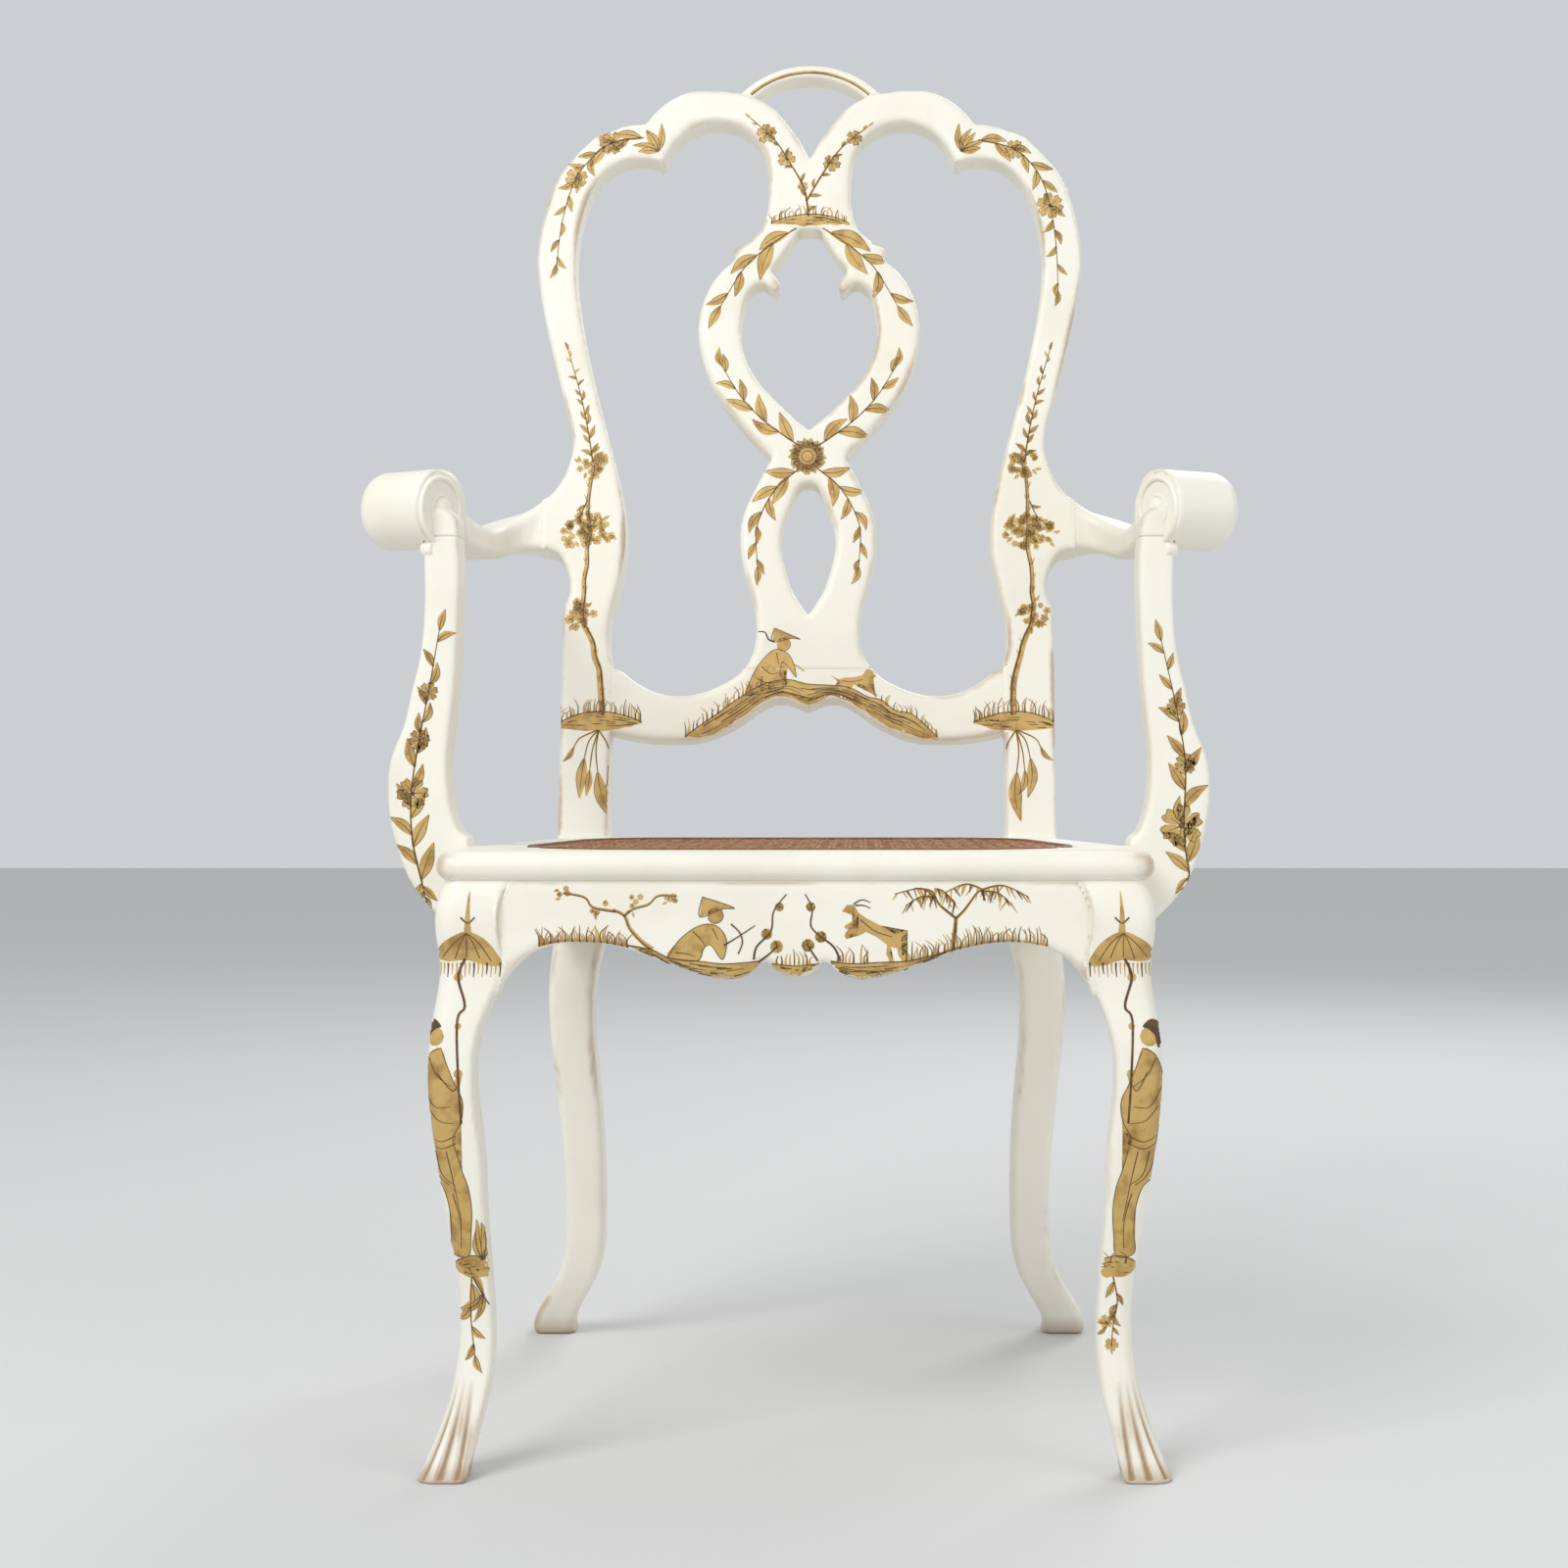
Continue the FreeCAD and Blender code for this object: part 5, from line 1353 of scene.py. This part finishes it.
@dataclass
class Ornament:
    """Gilt garden scenes, flowers and sprays, in millimetres of the chair's front view."""

    carved: CarvedFrame
    seat_top: float = 440.0
    upright_share: float = 0.9816
    arch_centre: float = 629.0
    arch_angles: range = range(40, 141, 5)

    def wood(self, *starts: str) -> list[bpy.types.Object]:
        """Carved pieces whose names start with any of the words."""
        return [piece for name, piece in self.carved.pieces.items() if name.startswith(starts)]

    def uprights(self, brush: Brush) -> None:
        """Flowering trees on islands up both rear posts.

        Args:
            brush: The brush that draws the scene.
        """
        top = [(-216, 538), (-203, 545), (-186, 549), (-168, 548), (-153, 544), (-143, 540)]
        foot = [(-214, 535), (-200, 533), (-185, 532), (-168, 533), (-153, 536), (-144, 539)]
        trunk = [(-178, 546), (-179, 575), (-187, 608), (-196, 633), (-195, 665), (-192, 705), (-193, 735),
                 (-190, 767)]
        bunches = (((-197, 634), 14, 24), ((-203, 706), 14, 26), ((-185, 707), 15, 28), ((-193, 714), 13, 20),
                   ((-190, 768), 14, 24))
        roots = (
            ([(-180, 533), (-188, 524), (-192, 508)], 262, 34),
            ([(-180, 533), (-182, 515), (-180, 496)], 278, 42),
            ([(-180, 533), (-173, 522), (-170, 510)], 284, 28),
            ([(-181, 533), (-196, 526), (-201, 518)], 250, 16),
            ([(-180, 533), (-185, 516), (-187, 498)], 268, 22))
        for side in (1.0, -1.0):
            brush.side = side
            brush.mound(top, foot)
            brush.grass(top, 34, 15)
            brush.trunk(trunk, 6.0, 2.4)
            for centre, radius, count in bunches:
                brush.cluster(centre, radius, count)
            brush.spray([(-190, 770), (-195, 800), (-203, 835), (-214, 872)], 17, 13, 1.6, 38)
            brush.spray([(-194, 735), (-200, 722), (-206, 716)], 3, 10)
            for stem, angle, length in roots:
                brush.stem(stem, (1.6, 0.9), (0.7, 0.4))
                brush.leaf(stem[-1], angle, length, length * 0.26)

    def shoulders(self, brush: Brush) -> None:
        """Flowers and trailing leaves on the shoulders of the crest, with a fan of leaves at each notch.

        Args:
            brush: The brush that draws the scene.
        """
        runs = {
            1.0: ([(-150, 1070), (-179, 1065), (-199, 1048), (-212, 1028), (-222, 990), (-226, 951)],
                  [((-179, 1065), 11), ((-210, 1032), 10)]),
            -1.0: ([(-152, 1068), (-185, 1059), (-206, 1036), (-216, 1006), (-221, 968), (-222, 926)],
                   [((-185, 1059), 9), ((-216, 1006), 12)]),
        }
        for side, (stem, flowers) in runs.items():
            brush.side = side
            brush.spray(stem, 14, 24, 1.5, 30)
            for centre, radius in flowers:
                brush.flower(centre, radius, 6)
            for angle, length in ((74, 27), (98, 24), (124, 22), (150, 24), (172, 18)):
                brush.leaf((-137, 1057), angle, length, 6.5)

    def crest(self, brush: Brush) -> None:
        """Little island on the crest with two flowering branches, and leaves down the strands.

        Args:
            brush: The brush that draws the scene.
        """
        brush.side = 1.0
        top = [(-34, 990), (-20, 995), (0, 998), (18, 996), (35, 990)]
        brush.mound(top, [(-33, 988), (-18, 988), (0, 987), (18, 988), (34, 988)])
        brush.grass(top, 26, 11)
        for branch in ([(-1, 996), (-5, 1022), (-19, 1048), (-32, 1068), (-54, 1089)],
                       [(-3, 1010), (13, 1038), (29, 1061), (53, 1081)]):
            brush.stroke(branch, 2.2, 0.9, Coat.GILT)
            brush.spray(branch, 8, 11, 1.4)
        blossoms = (((-21, 1050), 8), ((-39, 1074), 9), ((20, 1046), 8), ((40, 1070), 7), ((-6, 1024), 5))
        for centre, radius in blossoms:
            brush.flower(centre, radius, 5)
        for side in (1.0, -1.0):
            brush.side = side
            brush.spray([(-12, 985), (-36, 968), (-58, 948), (-79, 912)], 5, 38, 1.6, 24)

    def waist(self, brush: Brush) -> None:
        """Many-petalled rosette at the waist of the splat with four leafy sprays.

        Args:
            brush: The brush that draws the scene.
        """
        for side in (1.0, -1.0):
            brush.side = side
            brush.spray([(-9, 785), (-38, 806), (-60, 829), (-77, 857)], 7, 30, 1.6, 30)
            brush.spray([(-8, 764), (-30, 744), (-45, 712), (-44, 676)], 8, 28, 1.6, 28)
        brush.side = 1.0
        brush.rosette((-1, 775), 17, 18)

    def shoe(self, brush: Brush) -> None:
        """Grassy bank along the shoe rail with a seated figure in a hat and a running dog.

        Args:
            brush: The brush that draws the scene.
        """
        brush.side = 1.0
        top = [(-105, 528), (-90, 539), (-74, 550), (-56, 563), (-38, 573), (-18, 577), (0, 573), (18, 572),
               (36, 570), (52, 562), (64, 559), (76, 550), (90, 547), (104, 535), (112, 527)]
        foot = [(-103, 527), (-88, 528), (-74, 534), (-57, 544), (-41, 556), (-20, 563), (0, 555), (20, 563),
                (34, 559), (46, 552), (57, 544), (66, 539), (76, 534), (95, 528), (111, 525)]
        brush.mound(top, foot)
        brush.grass(top[:5], 26, 13)
        brush.grass(top[10:], 16, 9)
        brush.robe(
            [(-54, 563), (-48, 580), (-40, 593), (-29, 603), (-19, 601), (-13, 593), (-10, 579), (-17, 588),
             (-22, 592), (-24, 581), (-18, 573), (-30, 566)],
            [[(-44, 578), (-34, 574), (-22, 575)], [(-40, 588), (-32, 582), (-25, 583)],
             [(-27, 600), (-25, 590)]])
        brush.stroke([(-13, 590), (-8, 588), (-3, 584)], 2.2, 1.0, Coat.GILT)
        brush.head((-21, 608), 6, [(-29, 622), (-7, 612.5), (-14, 613), (-31, 610)])
        brush.stroke([(-29, 610), (-34, 612), (-37, 618), (-43, 619)], 1.6, 0.8)
        dog = [(61, 581), (56, 584), (53, 588), (51, 583.5), (47, 580.5), (40, 579), (32, 578.5), (27, 577),
               (20, 581), (26, 575), (28, 572.5), (22, 568.5), (25, 567), (32, 572), (34, 569), (37, 568),
               (40, 572.5), (47, 573), (51, 570), (55, 565), (59, 561.5), (60.5, 563), (57, 568), (53, 574),
               (57, 578)]
        brush.fill(dog, soft=False)
        brush.stroke([(30, 576), (38, 575), (48, 577)], 0.6, 0.4)

    def apron(self, brush: Brush) -> None:
        """Garden along the apron.

        Args:
            brush: The brush that draws the scene.
        """
        brush.side = 1.0
        for draw in (self.lawn, self.blossom_tree, self.archer, self.buds, self.deer, self.drooping_tree):
            draw(brush)

    @staticmethod
    def lawn(brush: Brush) -> None:
        """Lines of ground, banks and grass of the apron.

        Args:
            brush: The brush that draws the scene.
        """
        left_ground = [(-180, 374), (-165, 377), (-148, 377), (-132, 376), (-117, 373)]
        right_ground = [(96, 366), (116, 372), (135, 376), (155, 377), (178, 374)]
        brush.grass(left_ground, 40, 13)
        brush.grass(right_ground, 46, 14)
        for ground in (left_ground, right_ground):
            brush.stroke(ground, 1.8, 1.2, Coat.GILT)
        brush.mound([(-118, 374), (-101, 371), (-88, 365), (-69, 363), (-49, 361), (-24, 363)],
                    [(-112, 371), (-96, 363), (-81, 357), (-64, 351.5), (-46, 350), (-27, 356)])
        brush.mound([(-16, 361), (0, 359.5), (17, 361)], [(-9, 356), (0, 352.5), (10, 356)])
        brush.mound([(25, 363), (39, 361), (59, 362), (79, 363), (97, 367), (116, 373)],
                    [(29, 356), (39, 351), (54, 350), (72, 354), (90, 360), (113, 371)])
        brush.grass([(-13, 361), (12, 361)], 12, 11)
        brush.grass([(30, 362), (52, 362)], 12, 13)
        brush.grass([(78, 363), (94, 366)], 10, 14)

    @staticmethod
    def blossom_tree(brush: Brush) -> None:
        """Leaning tree in blossom at the left of the apron.

        Args:
            brush: The brush that draws the scene.
        """
        for branch, start in (([(-100, 371), (-108, 377), (-116, 386), (-120, 395), (-128, 399)], 3.6),
                              ([(-120, 395), (-113, 400), (-103, 403), (-96, 409), (-83, 409)], 2.0),
                              ([(-126, 398), (-142, 401), (-148, 408), (-163, 411)], 2.0)):
            brush.stroke(branch, start, start * 0.5, Coat.GILT)
            brush.stroke([(x, y - 0.6) for x, y in branch], 0.9, 0.5)
        for centre, radius in (((-162, 410), 5), ((-138, 401), 7), ((-110, 403), 8), ((-88, 409), 6.5)):
            brush.cluster(centre, radius, 6)

    @staticmethod
    def archer(brush: Brush) -> None:
        """Kneeling figure in a hat, with bow and arrow.

        Args:
            brush: The brush that draws the scene.
        """
        brush.robe(
            [(-90, 365), (-82, 377), (-71, 386), (-61, 389), (-53, 386), (-48, 377), (-51, 364), (-59, 374),
             (-64, 372), (-69, 363)],
            [[(-84, 369), (-76, 368), (-70, 366)], [(-72, 384), (-66, 378), (-63, 373)],
             [(-58, 386), (-54, 378)]])
        brush.head((-56, 395), 5.6, [(-65, 408), (-43, 400.5), (-51, 399.5), (-67, 394)])
        brush.stroke([(-45, 389), (-39, 383), (-37, 376), (-40, 368)], 1.2, 1.0)
        brush.stroke([(-50, 374), (-40, 380), (-28, 388)], 1.2, 0.6)

    @staticmethod
    def buds(brush: Brush) -> None:
        """Four budding stems in the middle of the apron.

        Args:
            brush: The brush that draws the scene.
        """
        stems = (
            ([(-29, 364), (-27, 373), (-17, 384), (-15, 398), (-6, 410)],
             (((-20, 382), 4), ((-11, 401), 3.2))),
            ([(-26, 362), (-18, 368), (-12, 374)], (((-13, 373), 4.6),)),
            ([(32, 363), (27, 373), (17, 381), (11, 388), (12, 400), (7, 410)],
             (((18, 380), 4.2), ((11, 401), 3.4))),
            ([(16, 363), (12, 369), (8, 375)], (((9, 374), 4.6),)))
        for stem, buds in stems:
            brush.stroke(stem, 1.6, 0.8)
            for centre, radius in buds:
                brush.disc(centre, radius)
                brush.flower(centre, radius, 4)

    @staticmethod
    def deer(brush: Brush) -> None:
        """Leaping deer with two horns.

        Args:
            brush: The brush that draws the scene.
        """
        outline = [
            (33, 398), (36.5, 402.5), (41, 402.5), (45, 396.5), (51, 392.5), (60, 388), (70, 382),
            (79, 384.5), (74.5, 379), (76, 373), (75, 367.5), (79, 362.5), (75.5, 362.5), (72.5, 367),
            (71.5, 372), (67, 373), (67, 367), (69.5, 362.5), (66.5, 362.5), (64, 368), (64.5, 374.5),
            (57, 380), (50, 383.5), (45, 381), (40, 382.5), (36, 378.5), (34.5, 381), (39, 385.5),
            (44, 385.5), (40, 388), (36, 385), (34.5, 387.5), (40, 391), (42, 393.5), (38.5, 396)]
        brush.fill(outline, soft=False)
        for horn in ([(41, 403), (47, 406), (53, 404)], [(42, 402), (48, 402), (53, 400)]):
            brush.stroke(horn, 1.1, 0.5)
        brush.stroke([(46, 392), (56, 384), (68, 380)], 0.7, 0.4)

    @staticmethod
    def drooping_tree(brush: Brush) -> None:
        """Tree with hanging leaves at the right of the apron.

        Args:
            brush: The brush that draws the scene.
        """
        trunk = [(110, 369), (112, 382), (113, 394)]
        limbs = ([(113, 393), (101, 403), (96, 412), (84, 414)],
                 [(113, 393), (119, 399), (128, 411), (134, 414)])
        spines = (
            [(97, 409), (88, 414), (70, 410)], [(97, 408), (88, 408), (78, 402)],
            [(112, 404), (104, 412), (98, 414)], [(132, 413), (120, 417), (105, 411)],
            [(131, 413), (146, 416), (164, 408)], [(131, 412), (142, 411), (152, 403)])
        brush.stroke(trunk, 4.0, 2.6, Coat.GILT)
        for limb in (trunk, *limbs):
            brush.stem(limb, (2.2, 1.3), (1.0, 0.6))
        for spine in spines:
            brush.frond(spine, 11, 9)

    def arm_posts(self, brush: Brush) -> None:
        """Flowering stems up both arm posts.

        Args:
            brush: The brush that draws the scene.
        """
        left = ([(-281, 414), (-288, 445), (-289, 480), (-283, 520), (-276, 556), (-268, 602)],
                (((-276, 556), 7), ((-283, 520), 8), ((-288, 480), 12)))
        right = ([(-291, 420), (-287, 452), (-288, 502), (-281, 545), (-270, 594)],
                 (((-281, 545), 7), ((-288, 502), 8), ((-285, 456), 16)))
        for side, (stem, flowers) in ((1.0, left), (-1.0, right)):
            brush.side = side
            brush.spray(stem, 15, 27, 1.8, 30)
            brush.spray([stem[0], (stem[0][0] + 3, stem[0][1] - 14)], 4, 18, 1.2, 40)
            for centre, radius in flowers:
                brush.flower(centre, radius, 6)

    def legs(self, brush: Brush) -> None:
        """Parasol and its bearer on a small island down both front legs, with hanging leaves below.

        Args:
            brush: The brush that draws the scene.
        """
        for side, out in ((-1.0, 4.0), (1.0, 0.0)):
            brush.side = side
            self.parasol(brush)
            self.bearer(brush, out)
            brush.mound([(211, 149), (220, 154), (230, 155), (240, 150)],
                        [(213, 141), (222, 140), (230, 140), (238, 143)])
        brush.grass([(214, 151), (236, 151)], 8, 9)
        brush.spray([(224, 140), (227, 120), (219, 104)], 5, 14, 1.3, 40)
        brush.spray([(227, 120), (224, 104), (223, 90)], 3, 9, 1.1, 40)
        for centre in ((219, 108), (223, 92)):
            brush.flower(centre, 5, 5)
        brush.side = -1.0
        for angle, length in ((66, 22), (84, 30), (104, 28), (122, 20)):
            brush.leaf((220, 152), angle, length, 6)
        brush.spray([(228, 140), (229, 112), (226, 84)], 4, 22, 1.4, 24)
        for angle in (-86, -62, -42, 70):
            brush.leaf((220, 128), angle, 22, 4.5)
        brush.stroke([(227, 140), (222, 130), (216, 120)], 1.2, 0.7)

    @staticmethod
    def parasol(brush: Brush) -> None:
        """Fringed parasol with its finial and its bent pole.

        Args:
            brush: The brush that draws the scene.
        """
        canopy = [(206, 361), (212, 373), (221, 381), (230, 384), (239, 381), (248, 375), (254, 366),
                  (243, 363), (230, 364), (216, 360)]
        brush.stroke([(229, 382), (229, 396), (228, 412)], 5.5, 0.6, Coat.GILT)
        brush.stroke([(224, 394), (229, 390), (234, 394)], 1.1, 1.1)
        brush.fill(canopy)
        for rib in ((213, 363), (221, 365), (230, 366), (238, 365), (247, 366)):
            brush.stroke([(230, 383), ((230 + rib[0]) / 2, 376), rib], 0.6, 0.6)
        for step in range(16):
            x = 207 + step * 3.0
            coat = Coat.INK if step % 3 == 0 else Coat.GILT
            brush.stroke([(x, 362), (x, 358), (x + 0.5, 352 + (step % 2) * 2)], 1.4, 0.5, coat)
        brush.stroke([(231, 365), (236, 352), (231, 332), (236, 322), (235, 284), (233, 250)], 1.9, 1.5)
        for knot, radius in (((236, 352), 3.2), ((235.5, 318), 2.4)):
            brush.disc(knot, radius)

    @staticmethod
    def bearer(brush: Brush, out: float) -> None:
        """Standing figure in a robe, with a plain head and dark hair.

        Args:
            brush: The brush, turned to the figure's side.
            out: How much further out than the other one this figure stands.
        """

        def moved(points: Sequence[Point]) -> list[Point]:
            """Points of the figure where it stands."""
            return [(x + out, z) for x, z in points]

        shape = [
            (243, 303), (252, 298), (258, 282), (258, 262), (254, 240), (254, 226), (253, 212), (244, 205),
            (239, 190), (238, 172), (239, 157), (226, 155), (224, 170), (223, 188), (225, 204), (229, 216),
            (233, 230), (235, 240), (229, 252), (228, 266), (233, 277), (238, 289)]
        folds = (
            [(252, 296), (246, 284), (236, 276)], [(257, 276), (248, 262), (236, 262)],
            [(254, 262), (245, 252), (234, 250)], [(234, 241), (244, 237), (254, 241)],
            [(233, 236), (244, 232), (254, 236)], [(240, 230), (236, 212), (230, 180)],
            [(248, 230), (244, 214), (234, 206)], [(236, 200), (231, 180), (231, 160)],
            [(252, 222), (246, 212), (238, 206)])
        hair = [(243, 318), (249, 323), (256, 319), (258, 306), (254, 303), (252, 311), (247, 316)]
        brush.robe(moved(shape), [moved(fold) for fold in folds])
        brush.stroke([(246 + out, 290), (238, 276), (234, 284)], 6.5, 3.4, Coat.GILT)
        brush.stroke([(246 + out, 286), (239, 273), (234, 280)], 0.8, 0.5)
        brush.disc((235, 285), 3.2)
        brush.disc((248 + out, 311), 7)
        brush.fill(moved(hair), Coat.INK)

    def arch(self, brush: Brush) -> None:
        """Thin gilt line along the small arch over the crest.

        Args:
            brush: The brush that draws the scene.
        """
        for centre_line, coat, width in ((77.5, Coat.GILT, 2.6), (76.6, Coat.INK, 0.8)):
            ring = [turned((0, 0), angle, centre_line) for angle in self.arch_angles]
            line = [(x, self.seat_top + self.upright_share * (self.arch_centre + y)) for x, y in ring]
            brush.stroke(line, width, width, coat)

    def dress(self, paintbox: Paintbox) -> None:
        """Draws every scene and presses it on to the wood.

        Args:
            paintbox: The chair's materials.
        """
        back = ("rear_post", "crest_rail", "splat", "shoe_rail")
        scenes = (
            ("upright_trees", self.uprights, back), ("shoulder_flowers", self.shoulders, back),
            ("crest_island", self.crest, back), ("waist_rosette", self.waist, back),
            ("shoe_bank", self.shoe, back),
            ("apron_garden", self.apron, ("front_rail", "front_leg")),
            ("arm_post_stems", self.arm_posts, ("arm_post",)), ("leg_figures", self.legs, ("front_leg",)),
            ("arch_line", self.arch, ("crest_arch",)),
        )
        for seed, (name, draw, wood) in enumerate(scenes):
            brush = Brush(name, self.wood(*wood), seed)
            draw(brush)
            brush.press(paintbox)


# Studio

@dataclass
class Studio:
    """Pale floor, soft lights and the camera of the photograph."""

    floor_half: float = 12.0
    floor_colour: Colour = (0.67, 0.67, 0.66, 1.0)
    floor_roughness: float = 0.9
    sky_colour: Colour = (0.80, 0.83, 0.86, 1.0)
    sky_strength: float = 0.75
    eye: tuple[float, float, float] = (0.0466, -2.0566, 0.4907)
    lens: float = 58.5
    sensor: float = 36.0
    shift: Point = (-0.0494, -0.0031)
    lit_height: float = 0.6
    lamps: tuple[tuple[str, tuple[float, float, float], float, float], ...] = (
        ("key", (-1.9, -2.6, 3.0), 1.8, 82.0),
        ("fill", (2.6, -2.2, 1.6), 2.4, 22.0),
        ("rim", (1.2, 2.6, 2.6), 1.6, 34.0),
    )

    def floor(self) -> None:
        """Lays the floor."""
        body = bmesh.new()
        bmesh.ops.create_grid(body, x_segments=1, y_segments=1, size=self.floor_half)
        floor = poured("floor", body)
        material = bpy.data.materials.new("pale floor")
        material.use_nodes = True
        shader = material.node_tree.nodes["Principled BSDF"]
        shader.inputs["Base Color"].default_value = self.floor_colour
        shader.inputs["Roughness"].default_value = self.floor_roughness
        floor.data.materials.append(material)

    def light(self) -> None:
        """Sets the sky and the lamps."""
        world = bpy.data.worlds.new("studio")
        bpy.context.scene.world = world
        world.use_nodes = True
        sky = world.node_tree.nodes["Background"]
        sky.inputs["Color"].default_value = self.sky_colour
        sky.inputs["Strength"].default_value = self.sky_strength
        target = Vector((0, 0, self.lit_height))
        for name, place, size, power in self.lamps:
            lamp = bpy.data.lights.new(name, "AREA")
            lamp.size = size
            lamp.energy = power
            holder = bpy.data.objects.new(name, lamp)
            holder.location = place
            holder.rotation_euler = (target - Vector(place)).to_track_quat("-Z", "Y").to_euler()
            bpy.context.scene.collection.objects.link(holder)

    def camera(self) -> None:
        """Sets the camera where the photograph was taken."""
        camera = bpy.data.cameras.new("camera")
        camera.lens = self.lens
        camera.sensor_width = self.sensor
        camera.shift_x, camera.shift_y = self.shift
        holder = bpy.data.objects.new("camera", camera)
        holder.location = self.eye
        holder.rotation_euler = (math.pi / 2, 0, 0)
        bpy.context.scene.collection.objects.link(holder)
        bpy.context.scene.camera = holder

    def dress(self) -> None:
        """Builds the studio."""
        self.floor()
        self.light()
        self.camera()
        bpy.context.scene.view_settings.view_transform = "Standard"


def main() -> None:
    """Builds and dresses the chair, then its studio."""
    logging.basicConfig(level=logging.INFO, format="%(message)s")
    paintbox = Paintbox()
    carved = CarvedFrame()
    carved.dress(paintbox)
    Volute().dress(paintbox)
    Ornament(carved).dress(paintbox)
    CaneSeat().dress(paintbox)
    Hardware.dress(paintbox)
    Studio().dress()


if __name__ == "__main__":
    main()
